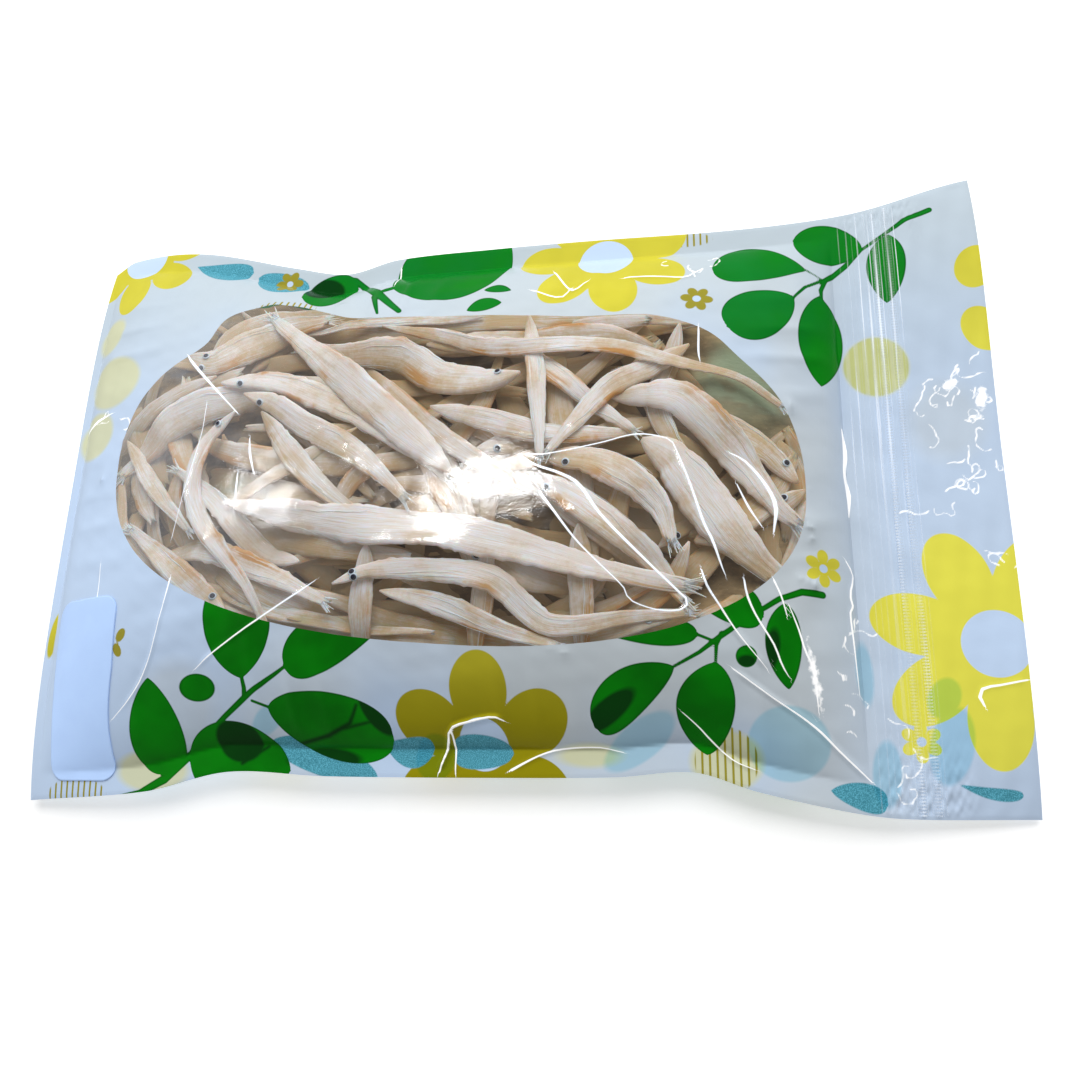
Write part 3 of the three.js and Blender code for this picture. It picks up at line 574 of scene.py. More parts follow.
class Fish:
    """A dried fish: its line under the ceiling of what lies over it, and its skin."""

    def __init__(self, path, width, warmth, eyes, step, sides, droop, thickness, random):
        self.x, self.y, self.s = even_line(path, step)
        self.width, self.warmth, self.eyes, self.sides, self.droop = width, warmth, eyes, sides, droop
        self.step, self.random = step, random
        self.share = self.s / self.s[-1]
        self.tone = random.uniform(0, 1)
        self.number = random.uniform(0, 90)
        girth = along(GIRTH, self.share) * width / 2
        self.halves, self.rags = [], []
        for _ in range(2):
            wave = 1 + 0.09 * self.noise(11) + 0.03 * self.noise(3)
            self.halves.append(girth * (wave - 0.12 * np.maximum(0, self.noise(2) - 0.4)))
        for _ in range(2):
            torn = 0.6 * self.noise(1.6) + 0.7 * self.noise(9) - 0.45
            self.rags.append(0.8 * np.maximum(0, torn))
        depth = along(DEPTH, self.share) * width * thickness * random.uniform(0.8, 1.2)
        self.half_depth = np.maximum(0.4, depth / 2 * (1 + 0.15 * self.noise(9)))
        self.twist = 0.3 * self.noise(22)
        self.ahead = np.array([np.gradient(self.x, self.s), np.gradient(self.y, self.s)])

    def noise(self, length):
        """A smooth random row along the fish that changes about every so many millimetres."""
        return smooth_noise(self.random, len(self.s), length / self.step)

    def column(self, length):
        """The same, as one value for each ring of the skin."""
        return self.noise(length)[:, None]

    def lay(self, ceiling):
        """Puts the fish against the ceiling, then lowers the ceiling to its underside."""
        side_x, side_y = self.ahead[1], -self.ahead[0]
        half = (self.halves[0] + self.halves[1]) / 2

        def beside(u):
            return self.x + side_x * half * u, self.y + side_y * half * u

        tops = np.min([ceiling.at(*beside(u)) for u in np.linspace(-0.8, 0.8, 5)], axis=0)
        stiff = max(2, int(STIFFNESS / self.step))
        tops = run(run(tops, stiff, np.min), stiff, np.mean)
        self.z = tops - self.half_depth - self.droop
        for u in np.linspace(-1, 1, 9):
            ceiling.lower(*beside(u), self.z - 0.8 * self.half_depth * math.sqrt(max(0, 1 - u * u)))
        ahead, right, up = unit_ways(np.array([*self.ahead, np.gradient(self.z, self.s)]).T)
        c, s = np.cos(self.twist)[:, None], np.sin(self.twist)[:, None]
        self.frame = np.array([self.x, self.y, self.z]).T, right * c + up * s, up * c - right * s, ahead

    def on_skin(self, k, across, lift):
        """Places on the upper skin at some rings, from -1 on one edge to 1 on the other."""
        centre, right, up, _ = self.frame
        half = np.where(across >= 0, self.halves[0][k], self.halves[1][k])
        high = self.half_depth[k] * np.sqrt(np.maximum(0, 1 - np.abs(across) ** BACK_POWER)) + lift
        return centre[k] + right[k] * (across * half)[:, None] + up[k] * high[:, None]

    def skin(self):
        """Points, faces and surface values of the fish's skin."""
        count, sides, random = len(self.s), self.sides, self.random
        upper = int(sides * BACK_SHARE)
        over = math.pi * np.arange(upper) / upper
        under = math.pi + math.pi * np.arange(sides - upper) / (sides - upper)
        turn = np.concatenate([over, under])
        top = np.arange(sides) <= upper
        p = 0.7 * np.cos(turn) + 0.3 * (1 - 2 * np.where(top, turn / math.pi, 2 - turn / math.pi))
        half = np.where(p >= 0, self.halves[0][:, None], self.halves[1][:, None])
        deep = self.half_depth[:, None]
        body = smoothstep(self.s, HEAD_LENGTH * 0.6, HEAD_LENGTH * 1.5)[:, None]
        tail = smoothstep(self.share, 0.8, 0.97)[:, None]
        relief = np.zeros((count, sides))
        valley = np.zeros((count, sides))
        for lobe, rise in LOBES:
            pitch = math.pi * self.width / lobe
            drift = 2.0 * self.column(20) + 0.8 * self.column(7) * p
            strength = 0.6 + 0.5 * self.column(11) + 0.3 * np.sin(3 * p + random.uniform(0, 6))
            strength = np.clip(strength, 0, 1.2)
            wave = 0.5 + 0.5 * np.cos(pitch * p + random.uniform(0, 6.3) + drift)
            relief += strength * rise * (wave - 0.5)
            valley = np.maximum(valley, 0.5 * strength * (1 - wave) ** 5)
        place = 0.35 * self.column(14)
        cleft = np.clip(0.9 * self.column(10), 0, 1) * bell(p, place, 0.09)
        rolled = (0.5 + 0.5 * self.column(12)) * bell(np.abs(p), 0.82, 0.12)
        relief = relief * (0.35 + 0.65 * body) + body * (1 - tail) * (0.15 * rolled - 0.1 * cleft * deep)
        gill = bell(self.s, HEAD_LENGTH, 1.1)[:, None]
        dome = np.sqrt(np.maximum(0, 1 - np.abs(p) ** BACK_POWER))
        v = np.where(top, dome * deep + relief * np.minimum(1, 2.5 * dome), -0.8 * dome * deep)
        v = v * (1 - 0.15 * gill)
        ragged = np.where(p >= 0, self.rags[0][:, None], self.rags[1][:, None]) * body * (1 - tail)
        u = p * half * (1 - 0.1 * gill) + np.sign(p) * ragged * smoothstep(np.abs(p), 0.8, 1)
        rag = random.uniform(-1, 1, 25)[np.clip((p + 1) * 12, 0, 24).astype(int)]
        forward = rag * 0.22 * self.width * smoothstep(self.share, 0.93, 1)[:, None]
        centre, right, up, ahead = (way[:, None] for way in self.frame)
        points = centre + right * u[..., None] + up * v[..., None] + ahead * forward[..., None]
        ends = [points[0].mean(0), points[-1].mean(0)]
        flank = 1 if (right[..., 1].mean() < 0) == (self.number > 20) else -1
        belly = smoothstep(p * flank, 0.1, 0.65) * np.clip(1.1 * self.column(13), 0, 1)
        paler = 0.6 * smoothstep(-p * flank, 0.6, 0.9) * np.clip(1.2 * self.column(9), 0, 1)
        belly = (belly + paler) * body
        rim = smoothstep(np.abs(p), 0.72, 0.95) * (0.6 + 0.4 * self.column(8))
        x, y, z = np.moveaxis(points, -1, 0)
        fibre = np.zeros((count, sides, 3))
        fibre[..., 0] = p * self.width / 2
        fibre[..., 1] = self.s[:, None]
        fibre[..., 2] = self.number
        values = {
            # Partly painted shade in the skin's valleys, clefts and gill, partly the darker lines that dried
            # fish have there
            "creases_and_shade": np.clip(np.maximum(valley, np.maximum(cleft * body * (1 - tail), 0.5 * gill)), 0, 1),
            "belly": np.clip((0.35 + self.warmth) * belly, 0, 1),
            "rim": np.clip(rim, 0, 1),
            # Painted shade: fish lying deeper under the film are darkened and browned by this value
            "deep": smoothstep(front_height(x, y) - z, 3, 10),
            # Painted shade: fish under the edge of the printed film turn warmer and darker
            "tone": (0.35 * self.tone + 0.65 * self.warmth + 0.35 * p * flank
                     + 0.45 * smoothstep(window_share(x, y), 0.72, 1.0)),
        }
        values = {key: np.append(value.ravel(), [0, 0]) for key, value in values.items()}
        values["tone"][-2:] = values["tone"][0]
        values["deep"][-2:] = values["deep"][0]
        values["fibre"] = np.vstack([fibre.reshape(-1, 3), fibre[0, :1], fibre[-1, :1]])
        first, last, low = count * sides, count * sides + 1, (count - 1) * sides
        pairs = [(k, (k + 1) % sides) for k in range(sides)]
        fans = [(first, a, b) for a, b in pairs] + [(last, low + b, low + a) for a, b in pairs]
        return np.vstack([points.reshape(-1, 3), ends]), ring_faces(count, sides), fans, values

    def strands(self, loose, frays):
        """Thin fibres that come off the skin: lines of places with their half widths."""
        random, count = self.random, len(self.s)
        lines = []
        for _ in range(loose):
            first = random.integers(int(count * 0.15), max(int(count * 0.15) + 1, int(count * 0.7)))
            k = np.arange(first, min(count - 1, first + int(random.uniform(12, 30) / self.step)), 2)
            if len(k) < 4:
                continue
            t = np.linspace(0, 1, len(k))
            start = random.choice([-1, 1]) * random.uniform(0.35, 1.0)
            across = np.clip(start + random.uniform(-0.3, 0.3) * t ** 2 + 0.04 * np.sin(9 * t), -1.06, 1.06)
            lift = 0.06 + 0.35 * random.uniform(0, 1) * np.abs(2 * t - 1) ** 4
            places = self.on_skin(k, across, lift)
            taper = np.sin(math.pi * np.clip(t, 0.04, 0.96)) ** 0.5
            lines.append((places, random.uniform(0.07, 0.14) * taper))
        centre, right, up, ahead = self.frame
        for _ in range(frays):
            across = random.uniform(-1, 1)
            k = count - 1 - random.integers(0, max(1, int(3 / self.step)))
            reach = np.linspace(0, random.uniform(0.2, 0.5) * self.width, 5)[:, None]
            way = ahead[k] + right[k] * (0.45 * across + random.uniform(-0.15, 0.15))
            way = way + up[k] * random.uniform(-0.2, 0)
            start = self.on_skin(np.array([k]), np.array([0.85 * across]), np.array([-0.2]))
            curl = right[k] * random.uniform(-0.03, 0.03)
            places = start + way * reach + curl * reach ** 2
            lines.append((places, random.uniform(0.25, 0.5) * np.linspace(1, 0.3, 5)))
        return lines

    def eye_places(self):
        """Middles of the eyes that show, with the way each faces."""
        k = np.array([int(np.searchsorted(self.s, EYE_PLACE))])
        _, right, up, _ = self.frame
        places = []
        for side in (1, -1)[: self.eyes]:
            facing = right[k[0]] * side * 0.35 + up[k[0]] * 0.94
            places.append((self.on_skin(k, np.array([0.5 * side]), np.array([-0.05]))[0], facing))
        return places


def tube(places, halves, fish, sides=5):
    """Points, faces and surface values of one thin fibre."""
    _, right, up = unit_ways(np.gradient(places, axis=0))
    turn = 2 * math.pi * np.arange(sides) / sides
    ring = right[:, None] * np.cos(turn)[:, None] + up[:, None] * np.sin(turn)[:, None]
    points = places[:, None] + ring * halves[:, None, None]
    count = len(places)
    total = count * sides
    caps = [range(sides)[::-1], range(total - sides, total)]
    values = {key: np.zeros(total) for key in ("creases_and_shade", "belly", "deep")}
    values["rim"] = np.full(total, 0.5)
    values["tone"] = np.full(total, 0.3 * fish.tone)
    values["fibre"] = np.full((total, 3), fish.number)
    values["fibre"][:, 1] += np.repeat(np.arange(count) * 2.0, sides)
    return points.reshape(-1, 3), ring_faces(count, sides), caps, values


def from_bare(path):
    """How far a path keeps from the corner where few fish lie."""
    return min(math.dist(place, BARE_CORNER) for place in path)


def rim_paths(count, random):
    """Fish that lie along the window's rim and reach under it."""
    paths = []
    while len(paths) < count:
        start, share = random.uniform(0, 2 * math.pi), random.uniform(0.8, 1.03)
        sweep = random.choice([-1, 1]) * random.uniform(0.55, 1.0)
        drift = random.uniform(-0.16, 0.16)
        path = []
        for t in (0, 0.35, 0.7, 1):
            angle = start + sweep * t * (0.5 + 0.9 * abs(math.sin(start)))
            path.append(np.array(window_point(angle, share + drift * (2 * t - 1))))
        if min(fullness(*place) for place in path) > 0.3 and from_bare(path) > BARE_RADIUS:
            paths.append(path)
    return paths


def filler_paths(count, random):
    """Fish that fill in between, mostly along the way that the others lie."""
    paths = []
    while len(paths) < count:
        x, y = window_point(random.uniform(0, 2 * math.pi), 1.02 * math.sqrt(random.uniform(0, 1)))
        angle = random.normal(math.radians(FILLER_LIE), math.radians(FILLER_SPREAD))
        half = random.uniform(*FILLER_HALF_LENGTH)
        bend = random.normal(0, FILLER_BEND)
        ahead = np.array([math.cos(angle), math.sin(angle)])
        side = np.array([-ahead[1], ahead[0]])
        flip = 1 if random.uniform() < 0.5 else -1
        spots = [(-1, 0), (-0.4, 0.7), (0.3, 0.9), (1, random.uniform(-0.6, 0.6))]
        path = [np.array([x, y]) + flip * half * a * ahead + bend * b * side for a, b in spots]
        if min(fullness(*place) for place in path) > 0.4 and from_bare(path) > BARE_RADIUS:
            paths.append(path)
    return paths


class Heap:
    """All the fish, laid one under another from the film down."""

    def __init__(self, seed, fillers, thickness):
        random = np.random.default_rng(seed)
        ceiling = HeightMap(lambda x, y: (
            front_height(x, y) - CEILING_GAP + CEILING_LUMPS * waves(x, y, CEILING_LUMP_LENGTH, seed)
            - CEILING_DROP * smoothstep(window_share(x, y), 1.01, 1.13)))
        self.shown, self.under = [], []
        for path, width, layer, warmth, eyes in sorted(SHOWN_FISH, key=lambda row: row[2]):
            form = (SHOWN_STEP, SHOWN_SIDES, 0.05 + 0.15 * layer, thickness, random)
            self.shown.append(Fish(reached_out(path), SHOWN_WIDTH_SHARE * width, warmth, eyes, *form))
        rims = int(RIM_FISH * fillers)
        for path in rim_paths(rims, random) + filler_paths(fillers - rims, random):
            width, warmth = random.uniform(*FILLER_WIDTH), random.uniform(0.3, 1)
            form = (UNDER_STEP, UNDER_SIDES, random.uniform(0.05, 0.4), thickness, random)
            fish = Fish(path, width, warmth, int(random.uniform() < FILLER_EYES), *form)
            if from_bare(path) > BARE_CLEARED * BARE_RADIUS:
                self.under.append(fish)
        for one in [*self.shown, *self.under]:
            one.lay(ceiling)
        shown = [one.skin() for one in self.shown]
        shown += [tube(*line, one) for one in self.shown for line in one.strands(LOOSE_FIBRES, TAIL_FRAYS)]
        self.skins = {"shown": shown, "under": [one.skin() for one in self.under]}
        self.film = self.drawn_film()

    def drawn_film(self):
        """The film drawn tight over the fish that touch it, clear of them by a hair."""
        base = HeightMap(lambda x, y: (
            front_height(x, y) - FILM_SINK * smoothstep(1.3 - window_share(x, y), 0, 0.35)))
        tops = HeightMap(np.full(base.z.shape, FAR_BELOW))
        for points, _, _, _ in self.skins["shown"] + self.skins["under"]:
            for dx, dy in ((0, 0), (0.5, 0), (-0.5, 0), (0, 0.5), (0, -0.5)):
                tops.raise_to(points[:, 0] + dx, points[:, 1] + dy, points[:, 2] + FILM_GAP)
        sheet = base.z.copy()
        for _ in range(DRAWING_STEPS):
            around = (sheet[2:, 1:-1] + sheet[:-2, 1:-1] + sheet[1:-1, 2:] + sheet[1:-1, :-2]) / 4
            drawn = TIGHT_SHARE * around + LOOSE_SHARE * base.z[1:-1, 1:-1]
            sheet[1:-1, 1:-1] = np.maximum(tops.z[1:-1, 1:-1], drawn)
        loose = smoothstep(fullness(base.x, base.y), 0.2, 0.4)
        return HeightMap(loose * sheet + (1 - loose) * base.z)


def smooth_fold(points):
    """A fold's line as even places a short step apart, with its width there."""
    rows = np.array(points, float)
    reach = np.concatenate([[0], np.cumsum(np.hypot(*np.diff(rows[:, :2], axis=0).T))])
    x, y, s = even_line(rows[:, :2], FOLD_STEP)
    half = FOLD_LINE_SHARE * np.interp(s / s[-1], reach / reach[-1], rows[:, 2])
    return np.stack([x, y, half], axis=-1)


def near_piece(x, y, start, end):
    """The places near a straight piece of line, how far along it each is, how far off, and on which side."""
    (ax, ay), (bx, by) = start, end
    near = np.abs(x - (ax + bx) / 2) < abs(bx - ax) / 2 + FOLD_REACH
    near &= np.abs(y - (ay + by) / 2) < abs(by - ay) / 2 + FOLD_REACH
    spots = np.nonzero(near)
    px, py = x[spots] - ax, y[spots] - ay
    dx, dy = bx - ax, by - ay
    t = np.clip((px * dx + py * dy) / max(1e-6, dx * dx + dy * dy), 0, 1)
    return spots, t, np.hypot(px - t * dx, py - t * dy), np.sign(px * dy - py * dx)


def drawn_lines(x, y, lines):
    """How far each place lies outside drawn lines, given as places with the line's width there."""
    gap = np.full(np.broadcast(x, y).shape, FOLD_REACH)
    for line in lines:
        for (*start, a), (*end, b) in zip(line, line[1:]):
            spots, t, off, _ = near_piece(x, y, start, end)
            gap[spots] = np.minimum(gap[spots], off - (a + t * (b - a)) / 2)
    return gap


def fold_lines(x, y):
    """Height that the folds add to the film; and for each place the distance to the nearest fold, less than 0
    on its left, the painted highlight line's half width there, and how near the fold is, from 0 to 1."""
    height = np.zeros(x.shape)
    nearest, second = np.full(x.shape, FOLD_REACH), np.full(x.shape, FOLD_REACH)
    value = np.zeros((*x.shape, 3))
    value[..., 0] = FOLD_REACH
    for points, rise in FOLDS:
        line = smooth_fold(points)
        own, taper = np.full(x.shape, FOLD_REACH), np.zeros(x.shape)
        side, half = np.full(x.shape, FOLD_REACH), np.zeros(x.shape)
        for k, ((*start, a), (*end, b)) in enumerate(zip(line, line[1:])):
            spots, t, gap, turn = near_piece(x, y, start, end)
            closer = gap < own[spots]
            spots = tuple(axis[closer] for axis in spots)
            gap, t = gap[closer], t[closer]
            own[spots] = gap
            side[spots] = gap * turn[closer]
            half[spots] = a + t * (b - a)
            share = (k + t) / (len(line) - 1)
            taper[spots] = smoothstep(share, -0.01, 0.1) * (1 - smoothstep(share, 0.9, 1.01))
        height += rise * taper * np.maximum(0, 1 - own / FOLD_HALF) ** 2
        best = own < nearest
        second = np.where(best, nearest, np.minimum(second, own))
        nearest = np.where(best, own, nearest)
        value[best, 0], value[best, 1] = side[best], half[best]
    unsure = (1 - smoothstep(second - nearest, 0.3, 0.9)) * smoothstep(nearest, 0.3, 0.6)
    value[..., 2] = (1 - smoothstep(nearest, 1.2, 2.0)) * (1 - unsure)
    return height, value


def curls():
    """Small curly glints, drawn at random from the patches' seeds."""
    lines = []
    for (cx, cy), (wide, high), count, seed in GLINT_PATCHES:
        random = np.random.default_rng(seed)
        for _ in range(count):
            x, y = cx + wide * random.uniform(-1, 1), cy + high * random.uniform(-1, 1)
            way, bend = random.uniform(0, 6.3), random.normal(0, 0.5)
            line = []
            for _ in range(random.integers(4, 13)):
                line.append((x, y, random.uniform(0.1, 0.6)))
                bend = 0.6 * bend + random.normal(0, 0.55)
                way += bend
                x, y = x + GLINT_STEP * math.cos(way), y + GLINT_STEP * math.sin(way)
            lines.append(line)
    return lines


@functools.lru_cache(maxsize=1)
def laid_heap(seed, fillers, thickness):
    return Heap(seed, fillers, thickness)


def heap_of(context):
    look = context.scene.whitebait_fish
    return laid_heap(look.seed, look.fillers, look.thickness)


def puckers(x, y):
    """Gathers that run in from the seals where the filling draws the film up."""
    top, bottom = along(TOP_EDGE, x), along(BOTTOM_EDGE, x)
    height = np.zeros(np.broadcast(x, y).shape)
    for distance, place, seed in (
        (top - y, x, 3), (y - bottom, x, 5), (x - CHAMBER_LEFT + 4, y, 7), (CHAMBER_RIGHT + 6 - x, y, 9),
    ):
        sway = 2.2 * np.sin(place / 11 + seed)
        lines = np.sin(2 * math.pi * place / GATHER_LENGTH + sway + 0.05 * distance)
        much = 0.55 + 0.45 * waves(place, place * 0, 60, seed)
        inward = smoothstep(distance, SEAL_WIDTH - 2, SEAL_WIDTH + 7) * (1 - smoothstep(distance, 16, 46))
        height += GATHER_RISE * much * np.where(lines > 0, np.abs(lines) ** 1.5, 0.4 * lines) * inward
    chamber = (x > CHAMBER_LEFT + 2) & (x < CHAMBER_RIGHT - 2)
    return height * np.where(chamber, np.minimum(1, 3 * fullness(x, y)), 0)


def beyond_label(x, y):
    """0 under the sticker and 1 well away from it."""
    wide, high = (LABEL_RIGHT - LABEL_LEFT) / 2, (LABEL_TOP - LABEL_BOTTOM) / 2
    dx = np.abs(x - (LABEL_RIGHT + LABEL_LEFT) / 2) - wide
    dy = np.abs(y - (LABEL_TOP + LABEL_BOTTOM) / 2) - high
    return smoothstep(np.maximum(dx, dy), 1, 9)


def header_relief(x, y):
    """Fine ridges and crinkles of the flat header."""
    inside = smoothstep(x, CRINKLES_FROM, CRINKLES_FROM + 5)
    crush = bell(np.abs(y), HALF_WIDTH, 14) * smoothstep(x, CRINKLES_FROM, CRINKLES_FROM + 8)
    crush = crush * (1 - smoothstep(x, 128, 136))
    wrinkle = 0.35 * waves(x, y * 0.45, 8, 21) + 0.25 * waves(x, y, 26, 23)
    crinkle = 0.35 * crush * waves(x * 1.6, y * 0.7, 3.2, 25)
    return inside * (0.4 * wrinkle + crinkle)


def front_film(x, y, film):
    """Height of the finished front sheet, and the values of its bright folds."""
    folds, value = fold_lines(x, y)
    share = window_share(x, y)
    over_print = smoothstep(share, 0.94, 1.06)
    rim = to_rim(x, y)
    free = smoothstep(rim, 0, 3) * beyond_label(x, y)
    crumple = (0.16 * waves(x, y, 15, 41) + 0.08 * waves(x, y, 7, 43)) * (0.3 + 0.7 * over_print)
    height = film.at(x, y) + SHEET_OFF_SEAM * np.minimum(1, rim)
    height = height + free * (folds + puckers(x, y) * over_print + header_relief(x, y)
                              + crumple * np.minimum(1, 0.3 + fullness(x, y)))
    return height, value


def lens_field(x, y, base, tip, width, bend, base_power, tip_power):
    """Roughly how far a place lies outside a leaf, in millimetres; less than 0 inside it."""
    base, tip = np.array(base, float), np.array(tip, float)
    length = math.dist(base, tip)
    ahead = (tip - base) / length
    u = (x - base[0]) * ahead[0] + (y - base[1]) * ahead[1]
    t = np.clip(u / length, 0, 1)
    v = (y - base[1]) * ahead[0] - (x - base[0]) * ahead[1] - bend * 4 * t * (1 - t)
    fullest = base_power / (base_power + tip_power)
    swelling = (t / fullest) ** base_power * ((1 - t) / (1 - fullest)) ** tip_power
    side = np.abs(v) - width / 2 * swelling
    over = np.maximum(0, np.abs(u - length / 2) - length / 2)
    return np.where(over > 0, np.hypot(over, np.maximum(side, 0)), side)


def oval_field(x, y, centre, half_long, half_wide, turn):
    angle = math.radians(turn)
    dx, dy = x - centre[0], y - centre[1]
    u = (dx * math.cos(angle) + dy * math.sin(angle)) / half_long
    v = (dy * math.cos(angle) - dx * math.sin(angle)) / half_wide
    return (np.hypot(u, v) - 1) * min(half_long, half_wide)


def flower_field(x, y, centre, count, reach, half_long, half_wide, turn, disc):
    nearest = np.full(np.broadcast(x, y).shape, 1e3)
    if disc:
        nearest = np.hypot(x - centre[0], y - centre[1]) - disc
    for k in range(count):
        turned = turn + 360 * k / count
        angle = math.radians(turned)
        place = (centre[0] + reach * math.cos(angle), centre[1] + reach * math.sin(angle))
        nearest = np.minimum(nearest, oval_field(x, y, place, half_long, half_wide, turned))
    return nearest


def print_fields(x, y):
    """How far each place lies outside each colour of the print, in millimetres."""
    def ovals(rows):
        return [oval_field(x, y, *row) for row in rows]

    def rounds(rows):
        return ovals((place, size, size, 0) for place, size in rows)

    def flowers(rows):
        return [flower_field(x, y, *row) for row in rows]

    def lenses(rows):
        return [lens_field(x, y, *row) for row in rows]

    fields = {
        "leaf": lenses(LEAVES) + ovals(GREEN_DOTS) + [drawn_lines(x, y, STEMS)],
        "leaf_shade": ovals(SHADED_OVALS) + [drawn_lines(x, y, SHADED_STEMS)],
        "petal": flowers(BIG_FLOWERS) + ovals(YELLOW_SPOTS),
        "small_petal": flowers(SMALL_YELLOW),
        "olive": flowers(SMALL_FLOWERS) + ovals(OLIVE_SPOTS),
        "stripe": ovals(STRIPED_SHAPES),
        "faint_stripe": ovals(FAINT_STRIPES),
        "centre": rounds(FLOWER_CENTRES),
        "small_centre": rounds(SMALL_CENTRES),
        "teal": lenses(TEAL_SHAPES),
        "pale": ovals(PALE_SHAPES),
        "ghost": ovals(GHOST_SHAPES),
        "grey": ovals(GREY_SHAPES),
    }
    return {name: functools.reduce(np.minimum, parts) for name, parts in fields.items()}


def glint_fields(x, y):
    """How far each place lies outside the curly glints and the broad ones."""
    spots = [oval_field(x, y, *spot) for spot in GLINT_SPOTS]
    return {"curl": drawn_lines(x, y, curls()), "glint": functools.reduce(np.minimum, spots)}


def stacked(x, y, z):
    """Rows of points from three tables of the same shape."""
    return np.stack([x, y, z], axis=-1).reshape(-1, 3)


def new_object(name, data):
    """An object put into the scene."""
    made = bpy.data.objects.new(name, data)
    bpy.context.scene.collection.objects.link(made)
    return made


def add_piece(name, points, faces, values, material, edges=()):
    """A smooth mesh object from points in millimetres, with its surface values and finish."""
    mesh = bpy.data.meshes.new(name)
    mesh.from_pydata((np.asarray(points) * MM).tolist(), edges, faces)
    for key, value in values.items():
        value = np.asarray(value, float)
        kind, field = ("FLOAT_VECTOR", "vector") if value.ndim == 2 else ("FLOAT", "value")
        mesh.attributes.new(key, kind, "POINT").data.foreach_set(field, value.ravel())
    mesh.shade_smooth()
    mesh.update()
    mesh.materials.append(material)
    return new_object(name, mesh)


def claim(made, slot, *nodes):
    """Says which body a piece rides on and hides the solids that it stands for; its slot is not used."""
    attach(made, "root")
    if nodes:
        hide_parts(*nodes)
    return made


class Wire:
    """An output of a node, on which sums are written as on paper."""

    def __init__(self, graph, socket):
        self.graph, self.socket = graph, socket

    def maths(self, operation, *others, clamp=False):
        values = dict(enumerate((self, *others)))
        return self.graph.node("ShaderNodeMath", {"operation": operation, "use_clamp": clamp}, values)

    def __add__(self, other):
        return self.maths("ADD", other)

    def __sub__(self, other):
        return self.maths("SUBTRACT", other)

    def __rsub__(self, other):
        return self.graph.node("ShaderNodeMath", {"operation": "SUBTRACT"}, {0: other, 1: self})

    def __mul__(self, other):
        return self.maths("MULTIPLY", other)

    def __truediv__(self, other):
        return self.maths("DIVIDE", other)

    __radd__ = __add__
    __rmul__ = __mul__

    def clamped(self):
        return self.maths("ADD", 0, clamp=True)

    def fraction(self):
        return self.maths("FRACT")

    def most(self, other):
        return self.maths("MAXIMUM", other)

    def between(self, low, high):
        """0 below low, 1 above high and smooth from one to the other."""
        values = {"Value": self, "From Min": low, "From Max": high}
        return self.graph.node("ShaderNodeMapRange", {"interpolation_type": "SMOOTHSTEP"}, values)


class Graph:
    """A node tree that is written as expressions."""

    def __init__(self, tree, material=None):
        self.tree, self.material = tree, material

    def node(self, kind, settings=None, values=None, output=0):
        made = self.tree.nodes.new(kind)
        for key, value in (settings or {}).items():
            setattr(made, key, value)
        for key, value in (values or {}).items():
            if isinstance(value, Wire):
                self.tree.links.new(value.socket, made.inputs[key])
            else:
                made.inputs[key].default_value = value
        return Wire(self, made.outputs[output] if made.outputs else None)

    def attribute(self, name, output="Fac"):
        return self.node("ShaderNodeAttribute", {"attribute_name": name}, output=output)

    def place(self):
        return self.node("ShaderNodeTexCoord", output="Object")

    def axis(self, vector, name):
        return self.node("ShaderNodeSeparateXYZ", values={"Vector": vector}, output=name)

    def noise(self, place, scale, detail=3.0, roughness=0.5):
        values = {"Vector": place, "Scale": scale, "Detail": detail, "Roughness": roughness}
        return self.node("ShaderNodeTexNoise", values=values, output="Fac")

    def scaled(self, place, factors):
        return self.node("ShaderNodeVectorMath", {"operation": "MULTIPLY"}, {0: place, 1: factors})

    def mix(self, factor, first, second, blend="MIX"):
        settings = {"data_type": "RGBA", "blend_type": blend}
        return self.node("ShaderNodeMix", settings, {0: factor, 6: first, 7: second}, output=2)

    def bump(self, height, distance, strength=1.0):
        values = {"Height": height, "Distance": distance, "Strength": strength}
        return self.node("ShaderNodeBump", values=values)

    def within(self, name, edge=0.25):
        """1 inside a colour of the print and 0 outside it."""
        return (0.5 - self.attribute(name) / edge).clamped()

    def painted_fold_highlight(self):
        """1 on the painted highlight line of a fold and 0 beside it."""
        fold = self.attribute("fold", "Vector")
        side, half, strength = (self.axis(fold, name) for name in "XYZ")
        return ((half - side.maths("ABSOLUTE")) / 0.2 + 0.5).clamped() * strength

    def principled(self, values):
        return self.node("ShaderNodeBsdfPrincipled", values=values)

    def clear(self):
        return self.node("ShaderNodeBsdfTransparent", values={"Color": WHITE})

    def blend(self, factor, first, second):
        return self.node("ShaderNodeMixShader", values={0: factor, 1: first, 2: second})

    def finished(self, shader):
        """The material, with its surface made by a shader."""
        self.node("ShaderNodeOutputMaterial", values={"Surface": shader})
        return self.material


def new_material(name):
    """The empty node tree of a new material."""
    material = bpy.data.materials.new(name)
    material.use_nodes = True
    material.node_tree.nodes.clear()
    return Graph(material.node_tree, material)


def shaded(color, share, lift=0):
    """A colour made darker or lighter."""
    return [*(min(1, c * share + lift) for c in color[:3]), 1]


def stripes(across, every, rise, fall):
    """Soft-edged stripes that repeat: 1 on each and 0 between them."""
    turn = (across / (every * MM)).fraction()
    return turn.between(*rise) * (1 - turn.between(*fall))


